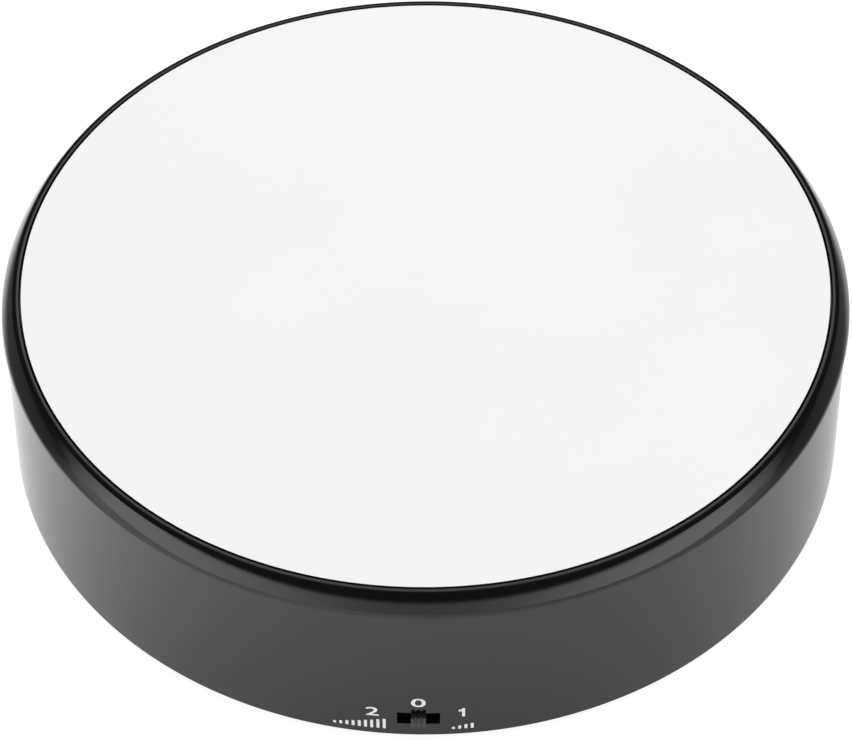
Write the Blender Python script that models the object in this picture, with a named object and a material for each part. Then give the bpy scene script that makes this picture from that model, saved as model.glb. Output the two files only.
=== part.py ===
"""Battery turntable display stand.

A round black base holds a motor, a four-stage spur gear train, two cells and a
three-position slide switch. The train turns a shallow black platter with a
white top disc, which also runs on four small rollers.

Every length below is in millimetres and is turned into metres when a mesh is
made. The origin is the centre of the plane that the feet stand on, +Z is up
and the switch is at the front, on -Y.
"""

import math

import bmesh
import bpy
from mathutils import Matrix, Vector

MM = 0.001
GAP = 0.3                     # clearance between neighbouring pieces

# Round outer shapes
SMOOTH = 64                   # sides of the large round pieces
FINE = 24                     # sides of shafts, bushes and cells
COARSE = 12                   # sides of screws and posts

WALL_RADIUS = 90.5
WALL_THICK = 2.4
WALL_FOOT = 1.0               # height of the wall's lower edge
DECK_TOP = 38.6
DECK_THICK = 2.4
SHOULDER = 0.2                # chamfer between wall and deck
DECK_UNDER = DECK_TOP - DECK_THICK

SKIRT_RADIUS = 91.0
SKIRT_FOOT = 39.1
SKIRT_WIDTH = 1.8             # thickness of the skirt at its foot
SKIRT_INNER = 88.0            # inside of the skirt where it leaves the platter's underside
CROWN_START = 87.5            # radius where the flat land begins to round over
CROWN_ROUND = 1.4
CROWN_END = math.radians(38)  # upward lean of the surface where the crown becomes the skirt
SKIRT_LEAN = math.radians(24) # upward lean at the skirt's foot
TOP = 44.0
LAND_INNER = 87.0
PLATTER_FLOOR = 42.7
PLATTER_UNDER = 40.7
DISC_RADIUS = 86.7
DISC_THICK = 1.0
DISC_BEVEL = 0.15
RIBS, RIB_END, RIB_HALF, RIB_BOTTOM = 8, 70.0, 0.7, 39.7

# Output shaft, its bushes and the hub
SHAFT_RADIUS = 3.0
SHAFT_FLAT = 2.4              # distance from the axis to the flat
SHAFT_BOTTOM = 9.6
SHAFT_TOP = 39.6
HUB_RADIUS = 5.6
HUB_BOTTOM = 34.5
HUB_SEAT = 41.2               # where the head of the platter's screw would rest
HUB_HOLE, HUB_RECESS = 1.6, 3.6
WELL_RADIUS = 7.2             # inside of the deck's central tube
WELL_OUTER = 9.4
WELL_BOTTOM = 28.4
BUSH_RADIUS = 6.9
THROUGH_RADIUS = 4.2          # openings that the shaft passes with room

# Gear train, from the output shaft back to the motor
PRESSURE = math.radians(20)
ADDENDUM = 0.9
DEDENDUM = 1.2
BACKLASH = 0.2
SLOW_MODULE, SLOW_WHEEL, SLOW_PINION = 0.84, 40, 10
FAST_MODULE, FAST_WHEEL, FAST_PINION = 0.55, 45, 9
SLOW_REACH = SLOW_MODULE * (SLOW_WHEEL + SLOW_PINION) / 2
FAST_REACH = FAST_MODULE * (FAST_WHEEL + FAST_PINION) / 2
HEADINGS = [math.radians(a) for a in (44, 0, -30, -30)]
OUTPUT = Vector((0.0, 0.0))
GEAR_3 = OUTPUT + SLOW_REACH * Vector((math.cos(HEADINGS[0]), math.sin(HEADINGS[0])))
GEAR_2 = GEAR_3 + SLOW_REACH * Vector((math.cos(HEADINGS[1]), math.sin(HEADINGS[1])))
GEAR_1 = GEAR_2 + FAST_REACH * Vector((math.cos(HEADINGS[2]), math.sin(HEADINGS[2])))
MOTOR = GEAR_1 + FAST_REACH * Vector((math.cos(HEADINGS[3]), math.sin(HEADINGS[3])))
AXLE_RADIUS = 1.0
AXLE_BOTTOM, AXLE_TOP = 12.3, 37.0
BORE_RADIUS = AXLE_RADIUS + GAP

# Gear plate that carries the lower ends of the axles and the motor
PLATE_BOTTOM, PLATE_TOP = 12.0, 14.0
PLATE_OUTLINE = [(-26, 10), (-12, -19), (74, -19), (77, 10), (66, 34), (-18, 27)]
PLATE_SCREWS = [(-17.5, 16.5), (30.0, -13.5), (60.0, 27.5)]

# Motor
CAN_RADIUS, CAN_HALF = 10.0, 7.55
CAN_BOTTOM, CAN_TOP = 9.6, 30.3
CAN_WALL = 0.8
CAP_BOTTOM, CAP_TOP = 5.3, 9.3
CUP_BOTTOM, CUP_FLOOR = 3.9, 5.0
CUP_WALL = 1.4

# Support rollers
ROLLER_RADIUS = 4.0
ROLLER_WIDTH = 5.0
ROLLER_TRACK = 78.0           # radius of the track under the platter
ROLLER_ANGLES = [math.radians(a) for a in (45, 135, 225, 315)]
ROLLER_Z = PLATTER_UNDER - GAP - ROLLER_RADIUS
PIN_RADIUS = 0.8
PIN_LENGTH = 9.8
POCKET_ROOM = 0.8             # room round a roller in its pocket
PAD_REACH, PAD_WIDTH, PAD_HALF = 5.4, 2.1, 2.6
PAD_BOTTOM = 33.4             # underside of the pads that carry the pins

# Bottom cover, its screws and feet
COVER_BOTTOM, COVER_TOP = 1.6, 3.6
COVER_RADIUS = WALL_RADIUS - WALL_THICK - GAP
COVER_SCREW_RING = 80.0
COVER_SCREW_ANGLES = [math.radians(18 + 72 * k) for k in range(5)]
SCREW_HEAD, SCREW_SHANK = 2.9, 1.3
SCREW_HOLE = SCREW_SHANK + GAP
SCREW_SEAT = 4.1              # where the heads of the cover's screws rest
COVER_SCREW_LENGTH, PLATE_SCREW_LENGTH = 11.0, 12.0
COVER_HOLE_TOP, PLATE_HOLE_TOP = 17.0, 26.0
CUP_RADIUS, CUP_TOP = 5.2, 6.4
HEAD_HOLE = 3.5
COVER_POST_RADIUS, PLATE_POST_RADIUS = 4.0, 3.4
SOCKET_RADIUS, SOCKET_FOOT = 2.6, 35.2
FOOT_RADIUS = 6.0
FOOT_RING = 70.0
FOOT_HEIGHT = COVER_BOTTOM - GAP

# Battery bay
BAY_X = -50.0
BAY_HALF = 17.3
BAY_END = 31.0
BAY_WALL = 1.7
BAY_CEILING = 18.6
DOOR_HALF = 15.3
DOOR_END = 29.7
DOOR_TOP = 3.4
DOOR_TRAVEL = 7.0
TAB_REACH = 1.5
TAB_LENGTH = 5.0
TAB_BOTTOM, TAB_TOP = 3.9, 4.9
TAB_PLACES = (-22.0, 0.0, 20.0)
CELL_RADIUS = 7.1
CELL_LENGTH = 50.5
CELL_Z = 11.1
CELL_SPACING = 14.8

# Slide switch and its board
SWITCH_Z = 6.6
SLOT_HALF, SLOT_HEIGHT = 4.45, 3.5
KNOB_HALF, KNOB_HEIGHT = 1.55, 3.0
KNOB_FACE = -91.7
BOARD_FRONT, BOARD_BACK = -82.2, -81.0
BOARD_SCREW_X, BOARD_SCREW_Z = 9.5, 13.0
BOARD_HALF, BOARD_BOTTOM, BOARD_TOP = 13.0, 4.2, 17.0
BOARD_POST_RADIUS = 2.4
INSIDE_WALL_Y = -88.6         # a little inside the wall's thickness
BOARD_HOLE_END = -87.4
SMALL_SCREW_HEAD, SMALL_SCREW_SHANK, SMALL_SCREW_LENGTH = 2.2, 1.0, 5.2
BODY_HALF, BODY_FRONT, BODY_HEIGHT = 6.8, -87.0, 4.1
STEM_HALF, STEM_FRONT, STEM_END = 1.2, -89.5, -85.4
KNOB_BACK = -88.7

# Leads
LEAD_RADIUS = 0.8
LEAD_Z = 14.0                 # height where the leads leave the bay
TERMINAL_REACH = 3.6          # how far the motor's terminals stand out


# ---------------------------------------------------------------- helpers
def clear_scene():
    for item in list(bpy.data.objects):
        bpy.data.objects.remove(item, do_unlink=True)


def material(name, colour, roughness, metallic=0.0):
    """A Principled material, made once and then shared."""
    found = bpy.data.materials.get(name)
    if found:
        return found
    made = bpy.data.materials.new(name)
    made.use_nodes = True
    shader = made.node_tree.nodes["Principled BSDF"]
    shader.inputs["Base Color"].default_value = (*colour, 1.0)
    shader.inputs["Roughness"].default_value = roughness
    shader.inputs["Metallic"].default_value = metallic
    made.diffuse_color = (*colour, 1.0)
    return made


def black_gloss():
    return material("black_gloss", (0.012, 0.012, 0.013), 0.12)


def black_plastic():
    return material("black_plastic", (0.02, 0.02, 0.021), 0.45)


def white_gloss():
    return material("white_gloss", (0.92, 0.92, 0.92), 0.15)


def steel():
    return material("steel", (0.55, 0.55, 0.57), 0.3, 1.0)


def brass():
    return material("brass", (0.72, 0.52, 0.22), 0.3, 1.0)


def nylon():
    return material("nylon", (0.86, 0.85, 0.8), 0.4)


def rubber():
    return material("rubber", (0.03, 0.03, 0.03), 0.9)


def merged(*parts):
    """Several bmeshes in one, as one tool for a cut or a union."""
    whole = bmesh.new()
    for part in parts:
        mesh = bpy.data.meshes.new("part")
        part.to_mesh(mesh)
        part.free()
        whole.from_mesh(mesh)
        bpy.data.meshes.remove(mesh)
    return whole


def moved(bm, matrix):
    bmesh.ops.transform(bm, matrix=matrix, verts=bm.verts)
    return bm


def turned(profile, sides=FINE):
    """Turn (radius, height) points about Z; a profile that leaves the axis closes on itself."""
    bm = bmesh.new()
    verts = [bm.verts.new((radius, 0.0, height)) for radius, height in profile]
    edges = [bm.edges.new(pair) for pair in zip(verts, verts[1:])]
    if profile[0][0] > 0 or profile[-1][0] > 0:
        edges.append(bm.edges.new((verts[-1], verts[0])))
    bmesh.ops.spin(bm, geom=verts + edges, cent=(0, 0, 0), axis=(0, 0, 1),
                   angle=math.tau, steps=sides, use_merge=True)
    bmesh.ops.remove_doubles(bm, verts=bm.verts, dist=1e-4)
    bmesh.ops.recalc_face_normals(bm, faces=bm.faces)
    return bm


def prism(outline, bottom, top):
    """Extrude a closed (x, y) outline from one height to another."""
    bm = bmesh.new()
    face = bm.faces.new([bm.verts.new((x, y, bottom)) for x, y in outline])
    grown = bmesh.ops.extrude_face_region(bm, geom=[face])
    lifted = [item for item in grown["geom"] if isinstance(item, bmesh.types.BMVert)]
    bmesh.ops.translate(bm, vec=(0, 0, top - bottom), verts=lifted)
    bmesh.ops.recalc_face_normals(bm, faces=bm.faces)
    return bm


def box(x_span, y_span, z_span):
    bm = bmesh.new()
    bmesh.ops.create_cube(bm, size=1.0)
    spans = (x_span, y_span, z_span)
    size = Matrix.Diagonal([high - low for low, high in spans] + [1.0])
    centre = Matrix.Translation([(low + high) / 2 for low, high in spans])
    return moved(bm, centre @ size)


def rod(start, end, radius, sides=COARSE):
    """A cylinder from one point to another."""
    start, end = Vector(start), Vector(end)
    line = end - start
    bm = bmesh.new()
    bmesh.ops.create_cone(bm, cap_ends=True, segments=sides, radius1=radius, radius2=radius,
                          depth=line.length)
    turn = line.to_track_quat("Z", "Y").to_matrix().to_4x4()
    return moved(bm, Matrix.Translation((start + end) / 2) @ turn)


def post(place, radius, bottom, top, sides=COARSE):
    """An upright cylinder at an (x, y) place."""
    return rod((place[0], place[1], bottom), (place[0], place[1], top), radius, sides)


def ring_place(radius, angle):
    return (radius * math.cos(angle), radius * math.sin(angle))


def solid(name, bm, look, origin=(0, 0, 0)):
    """Make the named object; its origin is the given point, on the joint's axis where it moves."""
    centre = Vector(origin) if len(origin) == 3 else Vector((*origin, 0.0))
    moved(bm, Matrix.Scale(MM, 4) @ Matrix.Translation(-centre))
    mesh = bpy.data.meshes.new(name)
    bm.to_mesh(mesh)
    bm.free()
    mesh.materials.append(look)
    mesh.shade_smooth()
    mesh.set_sharp_from_angle(angle=math.radians(35))
    item = bpy.data.objects.new(name, mesh)
    item.location = centre * MM
    bpy.context.scene.collection.objects.link(item)
    return item


def combine(item, tool_bm, operation):
    """Apply one exact Boolean to an object with a throwaway tool."""
    tool = solid("tool", tool_bm, item.data.materials[0])
    modifier = item.modifiers.new(operation.title(), "BOOLEAN")
    modifier.operation = operation
    modifier.object = tool
    modifier.solver = "EXACT"
    graph = bpy.context.evaluated_depsgraph_get()
    mesh = bpy.data.meshes.new_from_object(item.evaluated_get(graph))
    item.modifiers.clear()
    old_mesh, item.data = item.data, mesh
    mesh.name = item.name
    tool_mesh = tool.data
    bpy.data.objects.remove(tool)
    bpy.data.meshes.remove(tool_mesh)
    bpy.data.meshes.remove(old_mesh)
    return item


def fuse(item, *parts):
    return combine(item, merged(*parts), "UNION")


def carve(item, *parts):
    return combine(item, merged(*parts), "DIFFERENCE")


def screw(name, pose, head_radius, shank_radius, length, crossed=False):
    """A pan-head screw: the pose puts its seat, under the head, and turns its shank along +Z."""
    head = 1.2
    profile = [(0, -head), (head_radius - 0.6, -head), (head_radius, -0.5), (head_radius, 0),
               (shank_radius, 0), (shank_radius, length - 0.8), (0, length)]
    item = solid(name, moved(turned(profile, COARSE), pose), steel(), pose.translation)
    if crossed:
        for half_x, half_y in ((1.6, 0.3), (0.3, 1.6)):
            slot = box((-half_x, half_x), (-half_y, half_y), (-head - 1, -head + 0.6))
            carve(item, moved(slot, pose))
    return item


def gear_outline(teeth, module, phase, flank_steps):
    """Outline of an involute spur gear, with one tooth centred on the angle `phase`."""
    pitch_radius = teeth * module / 2
    base_radius = pitch_radius * math.cos(PRESSURE)
    root_radius = pitch_radius - DEDENDUM * module
    tip_radius = pitch_radius + ADDENDUM * module
    pitch_half = math.pi / 2 / teeth - BACKLASH / 2 / pitch_radius

    def roll(radius):
        angle = math.acos(min(1.0, base_radius / radius))
        return math.tan(angle) - angle

    def half_angle(radius):
        return pitch_half + roll(pitch_radius) - roll(max(radius, base_radius))

    start = max(root_radius, base_radius)
    flank = [start + (tip_radius - start) * k / (flank_steps - 1) for k in range(flank_steps)]
    if root_radius < base_radius:
        flank.insert(0, root_radius)
    outline = []
    for tooth in range(teeth):
        middle = phase + math.tau * tooth / teeth
        outline += [ring_place(radius, middle - half_angle(radius)) for radius in flank]
        outline += [ring_place(radius, middle + half_angle(radius)) for radius in reversed(flank)]
    return outline


def spur(teeth, module, phase, bottom, top, place, flank_steps=2):
    outline = gear_outline(teeth, module, phase, flank_steps)
    return prism([(x + place[0], y + place[1]) for x, y in outline], bottom, top)


def arc(centre, radius, start, end, steps):
    """(radius, height) points along an arc, from one angle to another."""
    angles = [start + (end - start) * k / steps for k in range(steps + 1)]
    return [(centre[0] + radius * math.cos(a), centre[1] + radius * math.sin(a)) for a in angles]


def shaft_section(clearance, bottom, top):
    """The flatted section of the output shaft, enlarged by a clearance."""
    radius = SHAFT_RADIUS + clearance
    flat = SHAFT_FLAT + clearance
    edge = math.acos(flat / radius)
    steps = 24
    sweep = math.tau - 2 * edge
    outline = [ring_place(radius, edge + sweep * k / steps) for k in range(steps + 1)]
    return prism(outline, bottom, top)


def can_outline(radius, half, centre):
    """A circle with two flat sides, as on a small motor."""
    side = math.asin(half / radius)
    steps = 12
    outline = []
    for start in (-side, math.pi - side):
        outline += [ring_place(radius, start + 2 * side * k / steps) for k in range(steps + 1)]
    return [(x + centre[0], y + centre[1]) for x, y in outline]


def smooth_route(points, spacing):
    """Points of a Catmull-Rom curve through the given points, about `spacing` apart."""
    knots = [Vector(p) for p in points]
    knots = [2 * knots[0] - knots[1]] + knots + [2 * knots[-1] - knots[-2]]
    route = []
    for a, b, c, d in zip(knots, knots[1:], knots[2:], knots[3:]):
        count = max(1, round((c - b).length / spacing))
        for k in range(count):
            t = k / count
            route.append(0.5 * (2 * b + (c - a) * t + (2 * a - 5 * b + 4 * c - d) * t ** 2
                                + (3 * b - a - 3 * c + d) * t ** 3))
    return route + [knots[-2]]


def wire_object(name, points, radius, resolution):
    """A filled tube along a polyline, as a curve object."""
    curve = bpy.data.curves.new(name, "CURVE")
    curve.dimensions = "3D"
    curve.bevel_depth = radius * MM
    curve.bevel_resolution = resolution
    curve.use_fill_caps = True
    line = curve.splines.new("POLY")
    line.points.add(len(points) - 1)
    for spot, point in zip(line.points, points):
        spot.co = (*(Vector(point) * MM), 1.0)
    item = bpy.data.objects.new(name, curve)
    bpy.context.scene.collection.objects.link(item)
    return item


# ---------------------------------------------------------------- base
def base_shell():
    """Wall and deck in one moulding, with every post, socket and roller pocket."""
    inner = WALL_RADIUS - WALL_THICK
    item = solid("base_shell", turned([
        (WALL_RADIUS, WALL_FOOT), (WALL_RADIUS, DECK_TOP - SHOULDER),
        (WALL_RADIUS - SHOULDER, DECK_TOP), (WELL_RADIUS, DECK_TOP),
        (WELL_RADIUS, WELL_BOTTOM + 1.0), (THROUGH_RADIUS, WELL_BOTTOM + 1.0),
        (THROUGH_RADIUS, WELL_BOTTOM), (WELL_OUTER, WELL_BOTTOM), (WELL_OUTER, DECK_UNDER),
        (inner, DECK_UNDER), (inner, WALL_FOOT)], SMOOTH), black_gloss())

    inside_deck = DECK_UNDER + 1.0
    cover_posts = [post(ring_place(COVER_SCREW_RING, a), COVER_POST_RADIUS, CUP_TOP + GAP, inside_deck)
                   for a in COVER_SCREW_ANGLES]
    plate_posts = [post(p, PLATE_POST_RADIUS, PLATE_TOP + GAP, inside_deck) for p in PLATE_SCREWS]
    sockets = [post(p, SOCKET_RADIUS, SOCKET_FOOT, inside_deck) for p in (GEAR_1, GEAR_2, GEAR_3)]
    fuse(item, *cover_posts, *plate_posts, *sockets)

    pads = []
    for angle in ROLLER_ANGLES:
        turn = Matrix.Rotation(angle, 4, "Z")
        for near in (ROLLER_TRACK - PAD_REACH, ROLLER_TRACK + PAD_REACH - PAD_WIDTH):
            pads.append(moved(box((near, near + PAD_WIDTH), (-PAD_HALF, PAD_HALF),
                                  (PAD_BOTTOM, inside_deck)), turn))
    board_posts = [rod((x, INSIDE_WALL_Y, BOARD_SCREW_Z), (x, BOARD_FRONT - GAP, BOARD_SCREW_Z),
                       BOARD_POST_RADIUS) for x in (-BOARD_SCREW_X, BOARD_SCREW_X)]
    fuse(item, *pads, *board_posts)

    cover_holes = [post(ring_place(COVER_SCREW_RING, a), SCREW_HOLE, CUP_TOP - 1.0, COVER_HOLE_TOP)
                   for a in COVER_SCREW_ANGLES]
    plate_holes = [post(p, SCREW_HOLE, PLATE_TOP - 1.0, PLATE_HOLE_TOP) for p in PLATE_SCREWS]
    axle_holes = [post(p, BORE_RADIUS, SOCKET_FOOT - 1.0, AXLE_TOP + GAP)
                  for p in (GEAR_1, GEAR_2, GEAR_3)]
    board_holes = [rod((x, BOARD_BACK, BOARD_SCREW_Z), (x, BOARD_HOLE_END, BOARD_SCREW_Z),
                       SMALL_SCREW_SHANK + GAP) for x in (-BOARD_SCREW_X, BOARD_SCREW_X)]
    carve(item, *cover_holes, *plate_holes, *axle_holes, *board_holes)

    slot_z = (SWITCH_Z - SLOT_HEIGHT / 2, SWITCH_Z + SLOT_HEIGHT / 2)
    slot = box((-SLOT_HALF, SLOT_HALF), (-WALL_RADIUS - 2, -WALL_RADIUS + 5), slot_z)
    pockets, grooves = [], []
    pocket_half = ROLLER_WIDTH / 2 + POCKET_ROOM
    for angle in ROLLER_ANGLES:
        turn = Matrix.Rotation(angle, 4, "Z")
        pockets.append(moved(box((ROLLER_TRACK - pocket_half, ROLLER_TRACK + pocket_half),
                                 (-ROLLER_RADIUS - POCKET_ROOM, ROLLER_RADIUS + POCKET_ROOM),
                                 (PAD_BOTTOM - 1.0, DECK_TOP + 1.0)), turn))
        half_pin = PIN_LENGTH / 2 + GAP
        grooves.append(moved(box((ROLLER_TRACK - half_pin, ROLLER_TRACK + half_pin),
                                 (-PIN_RADIUS - GAP, PIN_RADIUS + GAP),
                                 (ROLLER_Z - PIN_RADIUS - GAP, DECK_TOP + 1.0)), turn))
    carve(item, slot, *pockets)
    return carve(item, *grooves)


def roller_sets():
    """Four rollers, each on its own pin that lies across a pocket of the deck."""
    pale_plastic = material("roller_plastic", (0.8, 0.8, 0.78), 0.5)
    for number, angle in enumerate(ROLLER_ANGLES, 1):
        centre = Vector((*ring_place(ROLLER_TRACK, angle), ROLLER_Z))
        pose = (Matrix.Translation(centre) @ Matrix.Rotation(angle, 4, "Z")
                @ Matrix.Rotation(math.pi / 2, 4, "Y"))
        half = ROLLER_WIDTH / 2
        bore = PIN_RADIUS + GAP
        wheel = turned([(bore, -half), (ROLLER_RADIUS, -half), (ROLLER_RADIUS, half), (bore, half)])
        solid(f"roller_{number}", moved(wheel, pose), pale_plastic, centre)
        out = Vector((math.cos(angle), math.sin(angle), 0)) * PIN_LENGTH / 2
        solid(f"roller_pin_{number}", rod(centre - out, centre + out, PIN_RADIUS), steel())


def bottom_cover():
    """Round cover with five screw cups, the battery bay and the door's rails."""
    item = solid("bottom_cover", turned([
        (0, COVER_BOTTOM), (COVER_RADIUS - 0.4, COVER_BOTTOM), (COVER_RADIUS, COVER_BOTTOM + 0.4),
        (COVER_RADIUS, COVER_TOP), (0, COVER_TOP)], SMOOTH), black_plastic())
    outer = BAY_HALF + BAY_WALL
    channel_end = DOOR_END + DOOR_TRAVEL + 0.8
    bay = box((BAY_X - outer, BAY_X + outer), (-BAY_END - BAY_WALL, BAY_END + BAY_WALL),
              (2.6, BAY_CEILING + BAY_WALL))
    cups = [post(ring_place(COVER_SCREW_RING, a), CUP_RADIUS, COVER_TOP - 1.2, CUP_TOP)
            for a in COVER_SCREW_ANGLES]
    fuse(item, bay, *cups)
    fuse(item, box((BAY_X - outer, BAY_X + outer), (BAY_END, channel_end + BAY_WALL), (2.6, 6.8)))

    inside = (BAY_X - BAY_HALF, BAY_X + BAY_HALF)
    carve(item, box(inside, (-BAY_END, BAY_END), (4.2, BAY_CEILING)))
    carve(item, box(inside, (-BAY_END, channel_end), (COVER_TOP, 5.2)))
    rail = DOOR_HALF + GAP
    opening = box((BAY_X - rail, BAY_X + rail), (-DOOR_END - GAP, DOOR_END + DOOR_TRAVEL + GAP),
                  (0.0, 4.4))
    carve(item, opening)
    notches = []
    for spot in TAB_PLACES:
        reach = DOOR_HALF + TAB_REACH + GAP
        span = (spot + DOOR_TRAVEL - GAP, spot + DOOR_TRAVEL + TAB_LENGTH + GAP)
        notches.append(box((BAY_X - reach, BAY_X + reach), span, (0.5, 4.0)))
    carve(item, *notches)

    heads = [post(ring_place(COVER_SCREW_RING, a), HEAD_HOLE, 0.0, SCREW_SEAT + GAP)
             for a in COVER_SCREW_ANGLES]
    carve(item, *heads)
    holes = [post(ring_place(COVER_SCREW_RING, a), SCREW_HOLE, SCREW_SEAT - 1.0, CUP_TOP + 1.0)
             for a in COVER_SCREW_ANGLES]
    leads = [rod((x, BAY_END - 1, LEAD_Z), (x, BAY_END + 4, LEAD_Z), LEAD_RADIUS + GAP)
             for x in (BAY_X - CELL_SPACING / 2, BAY_X + CELL_SPACING / 2)]
    return carve(item, *holes, *leads)


def feet_and_screws():
    for number, angle in enumerate(ROLLER_ANGLES, 1):
        x, y = ring_place(FOOT_RING, angle)
        pad = turned([(0, 0), (FOOT_RADIUS - 0.4, 0), (FOOT_RADIUS, 0.4),
                      (FOOT_RADIUS, FOOT_HEIGHT), (0, FOOT_HEIGHT)])
        solid(f"foot_{number}", moved(pad, Matrix.Translation((x, y, 0))), rubber(), (x, y))
    for number, angle in enumerate(COVER_SCREW_ANGLES, 1):
        seat = Matrix.Translation((*ring_place(COVER_SCREW_RING, angle), SCREW_SEAT))
        screw(f"cover_screw_{number}", seat, SCREW_HEAD, SCREW_SHANK, COVER_SCREW_LENGTH, crossed=True)
    for number, place in enumerate(PLATE_SCREWS, 1):
        seat = Matrix.Translation((*place, PLATE_BOTTOM - GAP))
        screw(f"gear_plate_screw_{number}", seat, SCREW_HEAD, SCREW_SHANK, PLATE_SCREW_LENGTH)


def battery_door():
    """Flat door with three hooked tabs on each long side and a ribbed thumb grip."""
    item = solid("battery_door", box((BAY_X - DOOR_HALF, BAY_X + DOOR_HALF), (-DOOR_END, DOOR_END),
                                     (COVER_BOTTOM, DOOR_TOP)), black_plastic())
    stems, tabs = [], []
    for spot in TAB_PLACES:
        span = (spot, spot + TAB_LENGTH)
        for side in (-1, 1):
            edge = BAY_X + side * DOOR_HALF
            stem = sorted((edge, edge - side * 1.4))
            tab = sorted((edge + side * TAB_REACH, edge - side * 1.2))
            stems.append(box(stem, span, (3.0, TAB_BOTTOM + 0.5)))
            tabs.append(box(tab, (spot + 0.1, spot + TAB_LENGTH - 0.1), (TAB_BOTTOM, TAB_TOP)))
    fuse(item, *stems)
    fuse(item, *tabs)
    ribs = [box((BAY_X - 8, BAY_X + 8), (y, y + 0.8), (COVER_BOTTOM - 1, COVER_BOTTOM + 0.5))
            for y in (-25.0, -23.0, -21.0, -19.0)]
    return carve(item, *ribs)


def cells():
    """Two AA cells side by side, head to tail."""
    jacket = material("cell_jacket", (0.1, 0.13, 0.2), 0.35)
    nub, body = 1.3, CELL_LENGTH - 1.3
    profile = [(0, 0), (CELL_RADIUS - 0.5, 0), (CELL_RADIUS, 0.5), (CELL_RADIUS, body - 0.5),
               (CELL_RADIUS - 0.5, body), (2.75, body), (2.75, body + nub), (0, body + nub)]
    for number, side in ((1, -1), (2, 1)):
        x = BAY_X + side * CELL_SPACING / 2
        start = (BAY_END - 1.0 - CELL_LENGTH) * -side
        tilt = Matrix.Rotation(side * math.pi / 2, 4, "X")
        pose = Matrix.Translation((x, start, CELL_Z)) @ tilt
        solid(f"battery_{number}", moved(turned(profile), pose), jacket, (x, start, CELL_Z))


def spring_points(x, plate_y, side):
    """A conical coil that starts in its plate and narrows towards the cell."""
    turns, per_turn = 3, 12
    length = 8.2
    points = [Vector((x + 4.3, plate_y, CELL_Z))]
    for k in range(turns * per_turn + 1):
        share = k / (turns * per_turn)
        radius = 4.3 - 1.9 * share
        angle = math.tau * turns * share
        points.append(Vector((x + radius * math.cos(angle), plate_y - side * (1.0 + length * share),
                              CELL_Z + radius * math.sin(angle))))
    return points


def spring_mesh(x, plate_y, side):
    guide = wire_object("spring_guide", spring_points(x, plate_y, side), 0.35, 0)
    graph = bpy.context.evaluated_depsgraph_get()
    mesh = bpy.data.meshes.new_from_object(guide.evaluated_get(graph))
    bm = bmesh.new()
    bm.from_mesh(mesh)
    moved(bm, Matrix.Scale(1 / MM, 4))
    bmesh.ops.remove_doubles(bm, verts=bm.verts, dist=1e-4)
    bmesh.ops.recalc_face_normals(bm, faces=bm.faces)
    curve = guide.data
    bpy.data.objects.remove(guide)
    bpy.data.curves.remove(curve)
    bpy.data.meshes.remove(mesh)
    return bm


def contacts():
    """Positive plate, negative plate with its spring, and the bridge at the other end."""
    plate_y = BAY_END - 0.5
    left, right = BAY_X - CELL_SPACING / 2, BAY_X + CELL_SPACING / 2
    height = (6.0, 17.0)

    def plate(name, x_span, y):
        return solid(name, box(x_span, (y - 0.2, y + 0.2), height), steel())

    plate("contact_positive", (left - 5.8, left + 5.8), plate_y)
    fuse(plate("contact_negative", (right - 5.8, right + 5.8), plate_y),
         spring_mesh(right, plate_y, 1))
    fuse(plate("contact_bridge", (left - 5.8, right + 5.8), -plate_y),
         spring_mesh(left, -plate_y, -1))


# ---------------------------------------------------------------- platter
def top_disc():
    bottom = TOP - DISC_THICK
    return solid("top_disc", turned([(0, bottom), (DISC_RADIUS, bottom), (DISC_RADIUS, TOP - DISC_BEVEL),
                                     (DISC_RADIUS - DISC_BEVEL, TOP), (0, TOP)], SMOOTH), white_gloss())


def platter():
    """Shallow dish with a raised rim, a slanted skirt, ribs below and a hub on the shaft."""
    crown = arc((CROWN_START, TOP - CROWN_ROUND), CROWN_ROUND, math.pi / 2, CROWN_END, 4)
    skirt_top, skirt_foot = Vector(crown[-1]), Vector((SKIRT_RADIUS, SKIRT_FOOT))
    skirt_round = (skirt_foot - skirt_top).length / 2 / math.sin((CROWN_END - SKIRT_LEAN) / 2)
    skirt_centre = skirt_top - skirt_round * Vector((math.cos(CROWN_END), math.sin(CROWN_END)))
    skirt = arc(skirt_centre, skirt_round, CROWN_END, SKIRT_LEAN, 2)[1:-1]
    profile = [(HUB_HOLE, HUB_SEAT), (HUB_RECESS, HUB_SEAT), (HUB_RECESS, PLATTER_FLOOR),
               (LAND_INNER, PLATTER_FLOOR), (LAND_INNER, TOP)] + crown + skirt + [
        (SKIRT_RADIUS, SKIRT_FOOT), (SKIRT_RADIUS - SKIRT_WIDTH, SKIRT_FOOT),
        (SKIRT_INNER, PLATTER_UNDER), (HUB_RADIUS, PLATTER_UNDER), (HUB_RADIUS, HUB_BOTTOM),
        (HUB_HOLE, HUB_BOTTOM)]
    item = solid("platter", turned(profile, SMOOTH), black_gloss())
    ribs = [moved(box((HUB_RADIUS - 1.0, RIB_END), (-RIB_HALF, RIB_HALF),
                      (RIB_BOTTOM, PLATTER_UNDER + 1.0)),
                  Matrix.Rotation(math.tau * k / RIBS, 4, "Z")) for k in range(RIBS)]
    for rib in ribs:
        fuse(item, rib)
    return carve(item, shaft_section(GAP, HUB_BOTTOM - 1.0, SHAFT_TOP + GAP))


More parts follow.
